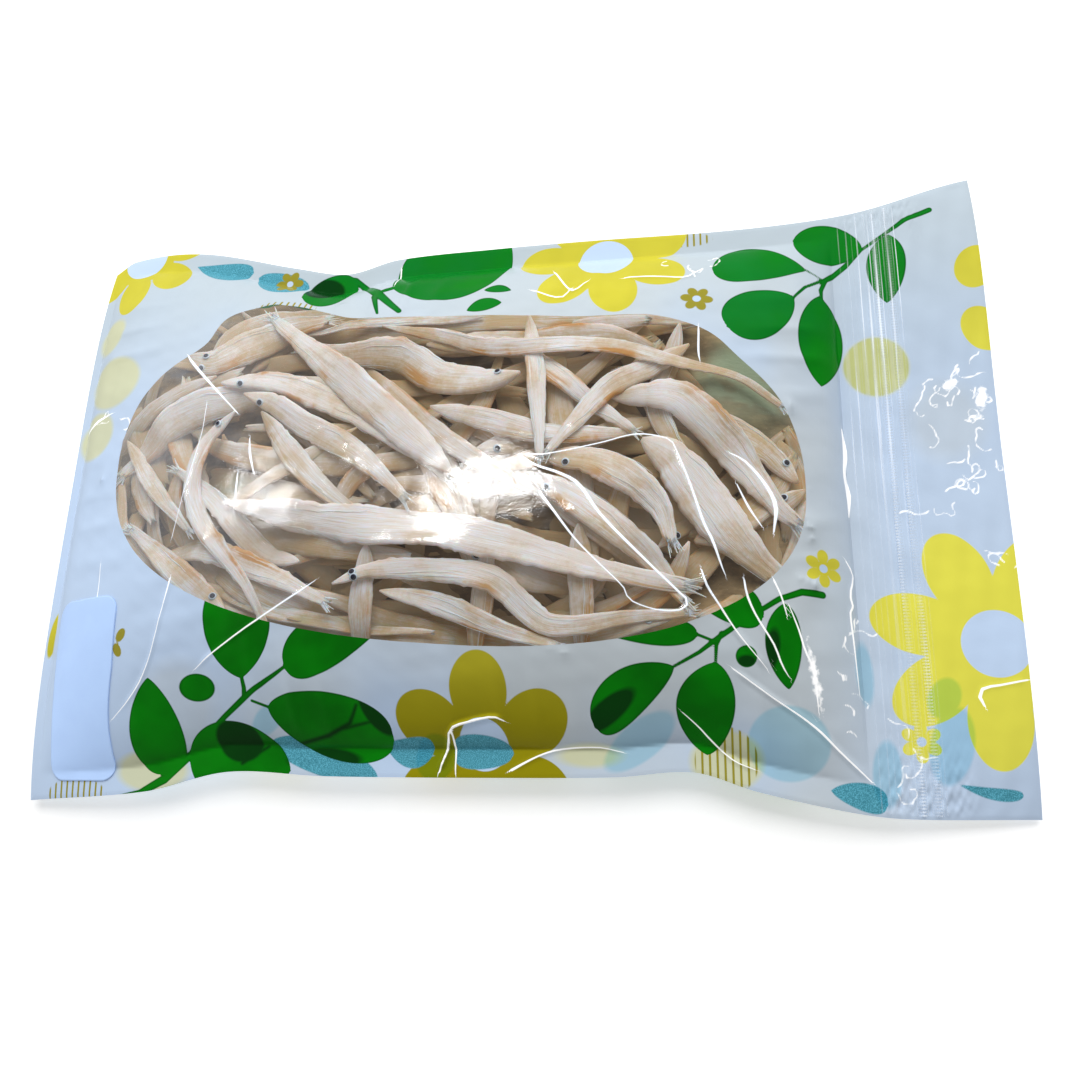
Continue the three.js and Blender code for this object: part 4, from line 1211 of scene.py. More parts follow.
def film_material(name, colours, tint):
    """Glossy printed film: flat colours, glittering teal, fine crinkles, and painted highlights that glow on
    its folds and glints.
    """
    graph = new_material(name)
    place = graph.place()
    across, up = graph.axis(place, "X"), graph.axis(place, "Y")

    def printed(base, field, edge, share, color, blend="MIX"):
        return graph.mix(graph.within(field, edge) * share, base, color, blend)

    far = up.between(0.01, 0.09)
    ends = across.maths("ABSOLUTE").between(0.085, 0.125)
    # Greyer patches: partly the back's print showing through, partly painted reflection of the surroundings
    drift = graph.noise(place, 12.0, 2.0).between(0.36, 0.64)
    base = graph.mix(drift * (1 - 0.8 * ends), tint, colours.grey)
    base = graph.mix(far * 0.85, base, colours.far_white)
    base = printed(base, "ghost", 1.6, 0.8, colours.ghost)
    base = printed(base, "grey", 6.0, 0.5, colours.grey)
    wide = stripes(across, 2.6, (0, 0.15), (0.5, 0.65))
    base = printed(base, "faint_stripe", 0.5, 0.35 + 0.35 * wide, colours.faint)
    base = printed(base, "stripe", 0.4, stripes(across, 2.1, (0, 0.08), (0.3, 0.38)), colours.olive)
    speckle = graph.noise(place, 3400.0, 1.0).between(0.4, 0.64)
    glitter = graph.mix(speckle, colours.teal, shaded(colours.teal, 1.7, 0.04))
    tone_and_sheen = graph.noise(place, 45.0).between(0.3, 0.7)
    petals = graph.mix(tone_and_sheen, colours.petal, shaded(colours.petal, 0.9))
    # Painted shade: petals on the near flank, turned away from the lamp, go darker; partly the back's print
    # showing through
    near = (1 - up.between(-0.08, -0.03)) * (1 - across.between(0.08, 0.11))
    petals = graph.mix(near, petals, colours.shaded_near_petal)
    # Painted highlight: petals on the header are lighter, partly for the header's thin see-through film
    petals = graph.mix(across.between(0.095, 0.12) * (1 - far), petals, colours.lit_header_petal)
    base = graph.mix(graph.within("petal").most(graph.within("small_petal")), base, petals)
    base = printed(base, "centre", 0.25, 1, shaded(tint, 1.06))
    base = printed(base, "teal", 0.4, 1, glitter)
    base = printed(base, "olive", 0.25, 1, colours.olive)
    base = printed(base, "small_centre", 0.25, 1, tint)
    base = printed(base, "pale", 0.8, 0.7, colours.pale, "MULTIPLY")
    # Painted sheen: leaves go darker and lighter in soft patches, as the film's gloss would make them; on
    # petals the same noise is random tone
    leaves = graph.mix(tone_and_sheen, colours.leaf, shaded(colours.leaf, 0.62))
    leaves = graph.mix(up.between(0.0, 0.06) * (0.3 + 0.7 * tone_and_sheen), leaves, colours.far_leaf)
    rim = (graph.attribute("leaf") / 0.7 + 1).clamped()
    dark = (rim * 0.55).most(graph.within("leaf_shade", 0.8) * 0.85)
    base = printed(base, "leaf", 0.25, 1, graph.mix(dark, leaves, colours.leaf_shade))
    # Painted highlights: fold lines, ragged broad glints and curly glints turn the film white and make it
    # glow
    ragged = 3 * (graph.noise(place, 700.0) - 0.5)
    glint = ((0.3 - graph.attribute("glint")) / 0.8 + ragged).clamped()
    glint = graph.painted_fold_highlight().most(glint).most(graph.within("curl", 0.3) * 0.9)
    crinkle = graph.noise(place, 60.0) + 0.12 * graph.noise(place, 500.0, 2.0)
    return graph.finished(graph.principled({
        "Base Color": graph.mix(glint, base, WHITE), "Roughness": 0.26, "Specular IOR Level": 0.13,
        "Coat Weight": 0.12 * (1 - 0.7 * graph.within("leaf")), "Coat Roughness": 0.17,
        "Normal": graph.bump(crinkle, 0.0004, 0.35),
        "Emission Color": graph.mix(glint, BLACK, WHITE), "Emission Strength": 0.3,
    }))


def window_material(look):
    """Clear film: see-through, with gloss, a little haze, a painted glare that grows to the left, and painted
    highlights on its folds; the milky part glows faintly as painted light.
    """
    graph = new_material("clear_film")
    place = graph.place()
    crinkle = graph.noise(place, 90.0, 4.0, 0.6) + 0.3 * graph.noise(place, 420.0, 3.0, 0.6)
    crinkle = crinkle + 0.25 * graph.noise(place, 1600.0, 2.0, 0.6)
    normal = graph.bump(crinkle, 0.0002, 0.6)
    shine = graph.node("ShaderNodeFresnel", values={"IOR": 1.5, "Normal": normal})
    gloss = graph.principled({"Base Color": WHITE, "Metallic": 1.0, "Roughness": 0.13, "Normal": normal})
    # Milky haze that also carries the painted fold highlights and glare, with a faint painted glow
    milk = graph.principled({
        "Base Color": look.milk, "Roughness": 0.4, "Emission Color": WHITE, "Emission Strength": 0.3,
    })
    scuffs_and_glare = graph.noise(place, 36.0, 5.0, 0.65).between(0.45, 0.8)
    # Painted glare: the window goes milkier toward its left end, speckled by the scuffs
    left = 1 - graph.axis(place, "X").between(-0.125, -0.03)
    haze = look.haze + 0.03 * scuffs_and_glare + left * (0.09 + 0.16 * scuffs_and_glare) + 0.9 * graph.painted_fold_highlight()
    body = graph.blend(haze.clamped(), graph.clear(), milk)
    return graph.finished(graph.blend((shine * look.shine).clamped(), body, gloss))


def fish_material(name, look, shade):
    """Dry fibrous fish: fine low streaks along the body, white rims, amber flanks, thin dark clefts partly in
    painted shade, painted shade on deeper fish and a faint painted glow.
    """
    graph = new_material(name)
    fibre = graph.attribute("fibre", "Vector")
    place = graph.place()
    streaks = graph.noise(graph.scaled(fibre, (0.9, 0.05, 1)), 1.0, 4.0, 0.6)
    fine = graph.noise(graph.scaled(fibre, (4.5, 0.12, 1)), 1.0, 3.0, 0.6)
    patches = graph.noise(place, 85.0, 4.0, 0.6)
    grain = graph.noise(place, 900.0, 3.0, 0.6)
    tone, belly, creases_and_shade, rim, deep = map(graph.attribute, ("tone", "belly", "creases_and_shade", "rim", "deep"))
    # Warmer, darker flesh: random patches and streaks, plus painted shade on deeper fish and near the
    # window's edge
    warm = 1.1 * tone + 2.6 * (patches - 0.5) + 1.6 * (streaks - 0.5) + 0.8 * (grain - 0.5) + 0.5 * deep - 0.3
    base = graph.mix(warm.clamped(), look.pale, look.warm)
    bright = fine.between(0.42, 0.62) * (1 - 0.75 * patches.between(0.42, 0.58))
    base = graph.mix((0.3 * rim + 0.85 * bright - 0.6 * deep).clamped(), base, look.white)
    amber = belly * streaks.between(0.36, 0.54) * (0.3 + 0.7 * patches.between(0.42, 0.56))
    base = graph.mix((2.2 * amber).clamped(), base, look.belly)
    # Darker in creases: the fine fibre pattern, and painted shade in the skin's valleys and clefts
    dim = 0.24 * (1 - fine.between(0.32, 0.46)) + 0.26 * creases_and_shade * (0.4 + 0.6 * grain.between(0.35, 0.65))
    base = graph.mix(dim.clamped(), base, look.creases_and_shade)
    # Painted shade: deeper fish, and more so those laid under the ones that show, go toward the deep colour
    base = graph.mix((shade + 0.75 * deep).clamped(), base, look.deep)
    height = 0.35 * streaks + 0.5 * fine + 0.15 * grain
    return graph.finished(graph.principled({
        "Base Color": base, "Roughness": 0.5, "Specular IOR Level": 0.35,
        "Normal": graph.bump(height, 0.0004, 0.6), "Subsurface Weight": 0.4, "Subsurface Scale": 0.003,
        # Painted glow: the flesh gives off a little of its own colour as light, lifting its shaded parts
        "Emission Color": base, "Emission Strength": 0.09,
    }))


def core_material(look):
    """Fish deep in the heap in their painted shade colour, and the back film's inner face where no fish lie.
    """
    graph = new_material("shaded_deep_filling")
    place = graph.place()
    mottle = graph.noise(graph.scaled(place, (90, 200, 90)), 1.0, 4.0, 0.6)
    base = graph.mix(mottle.between(0.38, 0.62), look.deep, shaded(look.deep, 0.55))
    ghost = graph.noise(graph.scaled(place, (60, 110, 60)), 1.0, 3.0, 0.55).between(0.42, 0.56)
    base = graph.mix(graph.attribute("bare") * (0.45 + 0.55 * ghost), base, look.backing)
    normal = graph.bump(mottle, 0.0008, 0.7)
    return graph.finished(graph.principled({"Base Color": base, "Roughness": 0.6, "Normal": normal}))


def plain_material(name, color, roughness, bumps=0.0, coat=0.0, mottle=0.86, glow=0.0):
    """One colour with a faint mottle and, where asked, fine bumps, a clear coat and a glow."""
    graph = new_material(name)
    place = graph.place()
    cloudy = graph.noise(place, 140.0, 4.0).between(0.3, 0.7)
    normal = graph.bump(graph.noise(place, 700.0), 0.0003, bumps)
    return graph.finished(graph.principled({
        "Base Color": graph.mix(cloudy, color, shaded(color, mottle)), "Roughness": roughness,
        "Coat Weight": coat, "Coat Roughness": 0.05, "Normal": normal,
        "Emission Color": color, "Emission Strength": glow,
    }))


def zip_material(name, look, far_white, near_highlight):
    """Clear ribbed plastic: faintly milky, with painted white highlight streaks along it that change from far
    to near, and a faint painted glow.
    """
    graph = new_material(name)
    place = graph.place()
    far = graph.axis(place, "Y").between(-0.03, 0.03)
    streaks = graph.noise(graph.scaled(place, (600, 12, 0)), 1.0, 3.0, 0.6).between(0.46, 0.66)
    milk = graph.principled({
        "Base Color": look.plastic, "Roughness": 0.2, "Specular IOR Level": 0.3,
        "Normal": graph.bump(graph.noise(place, 500.0), 0.0002, 0.5),
        "Emission Color": WHITE, "Emission Strength": 0.3,
    })
    # Painted highlights: white streaks along the ribs, of one strength at the far end and another near
    factor = (look.milk + streaks * (near_highlight + (far_white - near_highlight) * far)).clamped()
    return graph.finished(graph.blend(factor, graph.clear(), milk))


def grid_faces(index):
    """Square faces over a two-way table of point numbers."""
    a, b, c, d = index[:-1, :-1], index[1:, :-1], index[1:, 1:], index[:-1, 1:]
    return np.stack([a, b, c, d], axis=-1).reshape(-1, 4).tolist()


def window_grid(columns=WINDOW_COLUMNS, rows=WINDOW_ROWS, share=1):
    """A square grid of places bent to the window's oval, or to a copy of it of another size."""
    a, b = np.meshgrid(np.linspace(-1, 1, columns + 1), np.linspace(-1, 1, rows + 1), indexing="ij")
    flat_x, flat_y = a * np.sqrt(1 - b * b / 2), b * np.sqrt(1 - a * a / 2)
    return window_point(np.arctan2(flat_y, flat_x), share * np.hypot(flat_x, flat_y))


def rim_of(table):
    """The places round the edge of a grid, against the clock from its first corner."""
    return np.concatenate([table[:, 0], table[-1, 1:], table[-2::-1, -1], table[0, -2:0:-1]])


def across_places(columns, rows, left, right):
    """Places from seal to seal between two lines across the pouch."""
    x = np.linspace(left, right, columns + 1)
    share = np.linspace(0, 1, rows + 1)
    low, high = along(BOTTOM_EDGE, x)[:, None], along(TOP_EDGE, x)[:, None]
    return np.repeat(x[:, None], rows + 1, axis=1), low + (high - low) * share


def chamber_places(columns, rows):
    return across_places(columns, rows, -HALF_LENGTH, CHAMBER_RIGHT)


def header_places(columns, rows):
    return across_places(columns, rows, CHAMBER_RIGHT, HALF_LENGTH)


def add_slab(name, x, y, upper, lower, values, material):
    """A piece closed all round between two sheets over the same places."""
    index = np.arange(x.size).reshape(x.shape)
    rim = rim_of(index)
    after = np.roll(rim, -1)
    faces = grid_faces(index) + grid_faces(index[:, ::-1] + x.size)
    faces += np.stack([rim, rim + x.size, after + x.size, after], axis=-1).tolist()
    points = np.vstack([stacked(x, y, upper), stacked(x, y, lower)])
    return add_piece(name, points, faces, values, material)


def film_sheet(name, heap, x, y, material, printed):
    """Part of the front film over a two-way table of places, with the values that its finish reads."""
    z, fold = front_film(x, y, heap.film)
    values = {**print_fields(x, y), **glint_fields(x, y)} if printed else {}
    values = {key: value.ravel() for key, value in values.items()}
    values["fold"] = fold.reshape(-1, 3)
    return add_piece(name, stacked(x, y, z), grid_faces(np.arange(x.size).reshape(x.shape)), values, material)


def film_print(heap, material):
    """The printed front: both halves of the ring round the window, and the header."""
    half = WINDOW_COLUMNS + WINDOW_ROWS
    out = np.linspace(0, 1, RING_STEPS + 1)[:, None]
    ring = []
    for near, far in zip(window_grid(), chamber_places(WINDOW_COLUMNS, WINDOW_ROWS)):
        inner, outer = rim_of(near), rim_of(far)
        table = inner + (outer - inner) * out
        ring.append(np.concatenate([table, table[:, :1]], axis=1))
    sheets = {
        "film_near": [table[:, :half + 1] for table in ring],
        "film_far": [table[:, half:] for table in ring],
        "film_header": header_places(HEADER_COLUMNS, HEADER_ROWS),
    }
    return [film_sheet(name, heap, *places, material, True) for name, places in sheets.items()]


def film_back(heap, material):
    """The printed back, kept under the front sheet."""
    chamber = chamber_places(BACK_COLUMNS, BACK_ROWS)
    header = header_places(BACK_HEADER_COLUMNS, BACK_ROWS)
    x, y = (np.concatenate([near, far[1:]]) for near, far in zip(chamber, header))
    back = back_height(x, y)
    rim = to_rim(x, y)
    free = smoothstep(rim, 0, 3) * smoothstep(back, 0.3, 4)
    lumps = 0.6 * puckers(x, y) + 0.3 * waves(x, y, 18, 51) * np.minimum(1, 4 * fullness(x, y))
    off = SHEET_OFF_SEAM * np.minimum(1, rim) * smoothstep(back, 0.3, 2)
    z = back - off + free * (header_relief(x, y) - lumps)
    z = np.minimum(z, front_film(x, y, heap.film)[0] - SHEET_GAP)
    far = np.full(x.shape, FOLD_REACH)
    values = {**print_fields(-x, y), "curl": far, "glint": far}
    values = {key: np.ravel(value) for key, value in values.items()}
    index = np.arange(x.size).reshape(x.shape)[:, ::-1]
    return add_piece("film_back", stacked(x, y, np.maximum(z, 0)), grid_faces(index), values, material)


def add_fish(name, skins, material):
    """One piece from the skins of many fish, kept above the back film."""
    points, faces, values, start = [], [], {}, 0
    for skin, quads, fans, own in skins:
        points.append(skin)
        faces += (quads + start).tolist()
        faces += [[k + start for k in face] for face in fans]
        for key, value in own.items():
            values.setdefault(key, []).append(value)
        start += len(skin)
    values = {key: np.concatenate(rows) for key, rows in values.items()}
    points = np.vstack(points)
    points[:, 2] = np.maximum(points[:, 2], back_height(points[:, 0], points[:, 1]) + 1)
    return add_piece(name, points, faces, values, material)


def heap_core(heap, material):
    """Deep filling under the fish, closed at its sides and foot."""
    x, y = window_grid(CORE_COLUMNS, CORE_ROWS, CORE_SHARE)
    corner = np.hypot(x - BARE_CORNER[0], y - BARE_CORNER[1])
    bare = 1 - smoothstep(corner, BARE_RADIUS * 0.8, BARE_RADIUS * 1.6)
    lumps = 0.8 * waves(x, y, 8, 61) + 0.9 * waves(x, y, 17, 63)
    low = back_height(x, y) + CORE_OVER_BACK
    rise = CORE_RISE * smoothstep(window_share(x, y), 0.8, 1.03)
    top = front_height(x, y) - CORE_DEPTH + np.maximum(rise, CORE_RISE * bare) + lumps * (1 - bare)
    top = np.maximum(np.minimum(top, heap.film.at(x, y) - CORE_UNDER_FILM), low + CORE_LEAST)
    return add_slab("heap_core", x, y, top, low, {"bare": np.tile(bare.ravel(), 2)}, material)


def node_group(name, sizes):
    """An empty geometry tree with a mesh going in, named sizes, and a mesh coming out."""
    tree = bpy.data.node_groups.new(name, "GeometryNodeTree")
    for way in ("OUTPUT", "INPUT"):
        tree.interface.new_socket("Geometry", in_out=way, socket_type="NodeSocketGeometry")
    for label, size in sizes.items():
        kind = "NodeSocketInt" if isinstance(size, int) else "NodeSocketFloat"
        tree.interface.new_socket(label, in_out="INPUT", socket_type=kind).default_value = size
    start = tree.nodes.new("NodeGroupInput")
    graph = Graph(tree)
    return graph, {socket.name: Wire(graph, socket) for socket in start.outputs if socket.name}


def grown(made, graph, result, sizes, material):
    """Finishes a geometry tree, runs it on an object and keeps what it makes as plain mesh."""
    whole = graph.node("GeometryNodeRealizeInstances", values={"Geometry": result})
    whole = graph.node("GeometryNodeSetMaterial", values={"Geometry": whole, "Material": material})
    graph.node("NodeGroupOutput", values={"Geometry": whole})
    modifier = made.modifiers.new(graph.tree.name, "NODES")
    modifier.node_group = graph.tree
    for item in graph.tree.interface.items_tree:
        if item.in_out == "INPUT" and item.name in sizes:
            modifier[item.identifier] = sizes[item.name]
    bpy.context.view_layer.update()
    depsgraph = bpy.context.evaluated_depsgraph_get()
    mesh = bpy.data.meshes.new_from_object(made.evaluated_get(depsgraph), depsgraph=depsgraph)
    made.modifiers.remove(modifier)
    made.data = mesh
    mesh.shade_smooth()
    return made


def named_attribute(graph, name, kind):
    return graph.node("GeometryNodeInputNamedAttribute", {"data_type": kind}, {"Name": name})


def eye_parts(name, places, radius, bulge, material):
    """Flat round drops on the heads, one for each eye that shows."""
    points = [place for place, _ in places]
    facing = np.array([way for _, way in places])
    made = add_piece(name, points, [], {"facing": facing}, material)
    sizes = {"Radius": radius * MM, "Bulge": bulge * MM}
    graph, given = node_group(name + "_tree", sizes)
    ball = graph.node("GeometryNodeMeshUVSphere", values={"Segments": 12, "Rings": 6, "Radius": 1.0})
    wide, high = given["Radius"], given["Bulge"]
    size = graph.node("ShaderNodeCombineXYZ", values={"X": wide, "Y": wide, "Z": high})
    way = named_attribute(graph, "facing", "FLOAT_VECTOR")
    copies = graph.node("GeometryNodeInstanceOnPoints", values={
        "Points": given["Geometry"], "Instance": ball, "Scale": size,
        "Rotation": graph.node("FunctionNodeAlignRotationToVector", {"axis": "Z"}, {"Vector": way}),
    })
    return grown(made, graph, copies, sizes, material)


def zip_line(heap, at, step):
    """Places on the header's film along one rib of the zip."""
    x = ZIP_LEFT + at
    y = np.arange(along(BOTTOM_EDGE, np.array(x)) + 1, along(TOP_EDGE, np.array(x)) - 1, step)
    x = np.full(y.shape, float(x))
    return stacked(x, y, front_film(x, y, heap.film)[0])


def zip_ribs(heap, look, material):
    """Ribs swept along the header, with their own radius each."""
    points, edges, radii = [], [], []
    for at, radius in ZIP_RIBS:
        line = zip_line(heap, at, ZIP_STEP) + (0, 0, radius * RIB_LIFT)
        start = len(points)
        points += line.tolist()
        radii += [radius] * len(line)
        edges += [(k, k + 1) for k in range(start, len(points) - 1)]
    made = add_piece("zip_ribs", points, [], {"rib": radii}, material, edges)
    sizes = {"Radius": MM * look.rib_share, "Sides": ZIP_SIDES}
    graph, given = node_group("zip_rib_tree", sizes)
    line = graph.node("GeometryNodeMeshToCurve", values={"Mesh": given["Geometry"]})
    rib = named_attribute(graph, "rib", "FLOAT")
    line = graph.node("GeometryNodeSetCurveRadius", values={"Curve": line, "Radius": rib})
    ring = graph.node("GeometryNodeCurvePrimitiveCircle", values={
        "Resolution": given["Sides"], "Radius": given["Radius"],
    })
    swept = graph.node("GeometryNodeCurveToMesh", values={
        "Curve": line, "Profile Curve": ring, "Scale": rib, "Fill Caps": True,
    })
    return grown(made, graph, swept, sizes, material)


def zip_rungs(heap, look, material):
    """Short rungs side by side along both tracks."""
    places = np.vstack([zip_line(heap, at, look.rung_gap / MM) for at in ZIP_TRACKS])
    made = add_piece("zip_rungs", places + (0, 0, RUNG_LIFT), [], {}, material)
    sizes = {"Length": look.rung_length, "Thickness": look.rung_gap * 0.5}
    graph, given = node_group("zip_rung_tree", sizes)
    long, thick = given["Length"], given["Thickness"]
    size = graph.node("ShaderNodeCombineXYZ", values={"X": long, "Y": thick, "Z": thick})
    rung = graph.node("GeometryNodeMeshCube", values={"Size": size})
    spots = {"Points": given["Geometry"], "Instance": rung}
    copies = graph.node("GeometryNodeInstanceOnPoints", values=spots)
    return grown(made, graph, copies, sizes, material)


def sticker(heap, look, material):
    """A blank rounded sticker, bent with the film under it, closed on all sides."""
    across, upward = (np.linspace(0, 1, count + 1) for count in (LABEL_COLUMNS, LABEL_ROWS))
    a, b = np.meshgrid(across, upward, indexing="ij")
    corner = look.corner / MM
    width, height = LABEL_RIGHT - LABEL_LEFT, LABEL_TOP - LABEL_BOTTOM
    from_side = np.minimum(a, 1 - a) * width
    short = np.maximum(0, corner - from_side)
    pull = corner - np.sqrt(np.maximum(0, corner ** 2 - short ** 2))
    y = LABEL_BOTTOM + pull + b * (height - 2 * pull)
    up = (y - LABEL_BOTTOM) / height
    wave = LABEL_WAVE * np.sin(math.pi * np.clip((up - 0.1) / 0.5, 0, 1)) * a
    x = LABEL_LEFT + a * width + (up - 0.5) * LABEL_LEAN * a - wave
    under = front_film(x, y, heap.film)[0] + LABEL_GAP
    return add_slab("sticker", x, y, under + look.thickness / MM, under, {}, material)


def number(name, description, default, **limits):
    return bpy.props.FloatProperty(name=name, description=description, default=default, **limits)


def paint(name, description, default):
    return bpy.props.FloatVectorProperty(
        name=name, description=description, subtype="COLOR", size=4, min=0, max=1, default=(*default, 1),
    )


class FilmLook(bpy.types.PropertyGroup):
    """Looks of the film."""

    white: paint("Film white", "Unprinted film of the front", (0.55, 0.69, 0.9))
    # Partly painted reflection: unprinted film in its greyer patches, and grey print showing through
    grey: paint("Film grey", "Unprinted film where it turns greyer", (0.58, 0.64, 0.68))
    far_white: paint("Film far", "Unprinted film toward the far seal", (0.53, 0.61, 0.66))
    back_white: paint("Back white", "Unprinted film of the back", (0.54, 0.63, 0.74))
    leaf: paint("Leaf", "Printed leaves and stems", (0.001, 0.22, 0.002))
    far_leaf: paint("Far leaf", "Leaves toward the far seal", (0.002, 0.21, 0.022))
    leaf_shade: paint("Leaf shade", "Leaves over the back's leaves", (0.001, 0.02, 0.003))
    petal: paint("Petal", "Printed petals", (0.68, 0.62, 0.05))
    # Painted shade: darker petals on the near flank
    shaded_near_petal: paint("Near petal", "Petals toward the near seal", (0.32, 0.28, 0.002))
    # Painted highlight: lighter petals on the header
    lit_header_petal: paint("Header petal", "Petals on the header", (0.82, 0.78, 0.09))
    olive: paint("Olive", "Small flowers and stripes", (0.33, 0.29, 0.03))
    faint: paint("Faint stripes", "Wide stripes of the header's disc", (0.52, 0.56, 0.15))
    teal: paint("Teal", "Glittering shapes", (0.055, 0.26, 0.34))
    pale: paint("Blue tint", "Tint where the back's print shows through", (0.5, 0.83, 0.92))
    ghost: paint("Pale yellow", "Flowers of the back's print that show through", (0.68, 0.68, 0.38))
    # Colour of the window's haze, and of its painted fold highlights and glare
    milk: paint("Haze colour", "Milky haze of the clear window", (0.8, 0.88, 1))
    haze: number("Haze", "How milky the clear window is", 0.005, min=0, max=1, subtype="FACTOR")
    shine: number("Shine", "Strength of the window's reflections", 0.9, min=0, max=3)


class FishLook(bpy.types.PropertyGroup):
    """Number, form and colours of the fish."""

    seed: bpy.props.IntProperty(name="Seed", description="Start of all random draws", default=20, min=0)
    fillers: bpy.props.IntProperty(
        name="Filling fish", description="Fish laid under those that show best", default=230, min=0, max=400,
    )
    thickness: number("Thickness", "Thickness of a fish as a share of its width", 0.24, min=0.1, max=1)
    eye: number("Eye", "Radius of a pupil", 0.0009, min=0.0002, max=0.004, unit="LENGTH")
    white: paint("White flesh", "Lightest streaks and rims", (0.72, 0.75, 0.81))
    pale: paint("Pale flesh", "Most of the flesh", (0.69, 0.645, 0.6))
    warm: paint("Warm flesh", "Beige flesh", (0.53, 0.4, 0.23))
    belly: paint("Belly", "Orange bellies", (0.5, 0.27, 0.09))
    # Partly painted shade: colour that the skin's valleys and clefts are darkened to
    creases_and_shade: paint("Groove", "Creases between fibres", (0.46, 0.33, 0.18))
    # Painted shade: colour that deep fish and the core are darkened to
    deep: paint("Deep filling", "Fish deep in the heap", (0.33, 0.235, 0.12))
    backing: paint("Backing", "Inner face of the back film", (0.28, 0.33, 0.22))
    iris: paint("Iris", "Ring round a pupil", (0.62, 0.72, 0.82))
    pupil: paint("Pupil", "Pupil of an eye", (0.01, 0.012, 0.03))


class ZipLook(bpy.types.PropertyGroup):
    """Sizes and looks of the zip."""

    rib_share: number("Rib size", "Size of the ribs against their own radius", 1, min=0.2, max=2)
    rung_gap: number("Rung spacing", "Distance from rung to rung", 0.0009, min=0.0004, unit="LENGTH")
    rung_length: number("Rung length", "Length of a rung across its track", 0.0018, min=0.0005, unit="LENGTH")
    milk: number("Milk", "How milky the plastic is", 0.07, min=0, max=1, subtype="FACTOR")
    plastic: paint("Plastic", "Colour of the plastic", (0.85, 0.92, 1.0))


class StickerLook(bpy.types.PropertyGroup):
    """Size and colour of the blank sticker."""

    thickness: number("Thickness", "Thickness of the paper", 0.00025, min=0.00005, unit="LENGTH")
    corner: number("Corner", "Radius of its corners", 0.005, min=0.0005, unit="LENGTH")
    paper: paint("Paper", "Colour of the blank paper", (0.46, 0.64, 0.97))


class StageLook(bpy.types.PropertyGroup):
    """Lamps, floor and lens."""

    soft: number("Soft lamp", "Power of the large lamp at the back", 17, min=0, unit="POWER")
    fill: number("Fill lamp", "Power of the weak lamp on the left", 3, min=0, unit="POWER")
    glint: number("Glint lamp", "Power of the small lamps that the film mirrors", 1.7, min=0, unit="POWER")
    sky: number("Sky", "Brightness of the white surroundings", 0.23, min=0)
    glow: number("Glow", "Light that the floor gives off", 0.5, min=0)
    lens: number("Lens", "Focal length in millimetres on a 36 mm wide frame", 33.11, min=10, max=200)
    floor: paint("Floor", "Colour of the floor", (0.95, 0.95, 0.95))


class WHITEBAIT_OT_fish(bpy.types.Operator):
    """Lay the fish that show and those that fill in under them"""

    bl_idname = "whitebait.fish"
    bl_label = "Lay fish"

    def execute(self, context):
        heap = heap_of(context)
        look = context.scene.whitebait_fish
        shown = add_fish("whitebait_top", heap.skins["shown"], fish_material("dry_fish", look, 0.0))
        # Fish under those that show are drawn darker, as painted shade
        under = add_fish("whitebait_under", heap.skins["under"], fish_material("dry_fish_under_shaded", look, 0.12))
        claim(shown, "fish", "whitebait")
        claim(under, "fish", "whitebait")
        return {"FINISHED"}


class WHITEBAIT_OT_core(bpy.types.Operator):
    """Fill the pouch under the fish"""

    bl_idname = "whitebait.core"
    bl_label = "Fill core"

    def execute(self, context):
        look = context.scene.whitebait_fish
        claim(heap_core(heap_of(context), core_material(look)), "fish", "whitebait")
        return {"FINISHED"}


class WHITEBAIT_OT_eyes(bpy.types.Operator):
    """Set the eyes into the heads"""

    bl_idname = "whitebait.eyes"
    bl_label = "Set eyes"

    def execute(self, context):
        heap = heap_of(context)
        look = context.scene.whitebait_fish
        places = [place for one in heap.shown + heap.under for place in one.eye_places()]
        radius = look.eye / MM
        iris = plain_material("iris", look.iris, 0.25, coat=0.6)
        pupil = plain_material("pupil", look.pupil, 0.12, coat=0.8)
        claim(eye_parts("eye_rings", places, radius * RING_SHARE, RING_BULGE, iris), "fish", "whitebait")
        raised = [(place + PUPIL_LIFT * way, way) for place, way in places]
        claim(eye_parts("eye_pupils", raised, radius, PUPIL_BULGE, pupil), "fish", "whitebait")
        return {"FINISHED"}


class WHITEBAIT_OT_film(bpy.types.Operator):
    """Draw the printed front, the clear window and the printed back"""

    bl_idname = "whitebait.film"
    bl_label = "Draw film"

    def execute(self, context):
        heap = heap_of(context)
        look = context.scene.whitebait_film
        pieces = film_print(heap, film_material("printed_film", look, look.white))
        pieces.append(film_sheet("film_window", heap, *window_grid(), window_material(look), False))
        pieces.append(film_back(heap, film_material("printed_back_film", look, look.back_white)))
        for piece in pieces:
            claim(piece, "film", "pouch")
        return {"FINISHED"}


class WHITEBAIT_OT_zip(bpy.types.Operator):
    """Lay the zip's ribs and rungs across the header"""

    bl_idname = "whitebait.zip"
    bl_label = "Lay zip"

    def execute(self, context):
        heap = heap_of(context)
        look = context.scene.whitebait_zip
        # The last two numbers are how strong the painted highlight streaks are at the far and the near end
        claim(zip_ribs(heap, look, zip_material("zip_plastic", look, 0.75, 0.12)), "zip_strip", "zip")
        claim(zip_rungs(heap, look, zip_material("zip_rung_plastic", look, 0.05, 0.3)), "zip_strip", "zip")
        return {"FINISHED"}


class WHITEBAIT_OT_sticker(bpy.types.Operator):
    """Stick the blank sticker on"""

    bl_idname = "whitebait.sticker"
    bl_label = "Add sticker"

    def execute(self, context):
        look = context.scene.whitebait_sticker
        # Painted glow: the paper gives off a little light, so that it looks brighter than the lamps make it
        finish = {"bumps": 0.05, "coat": 0.4, "mottle": 0.96, "glow": 0.2}
        material = plain_material("sticker_paper", look.paper, 0.3, **finish)
        claim(sticker(heap_of(context), look, material), "sticker", "label")
        return {"FINISHED"}


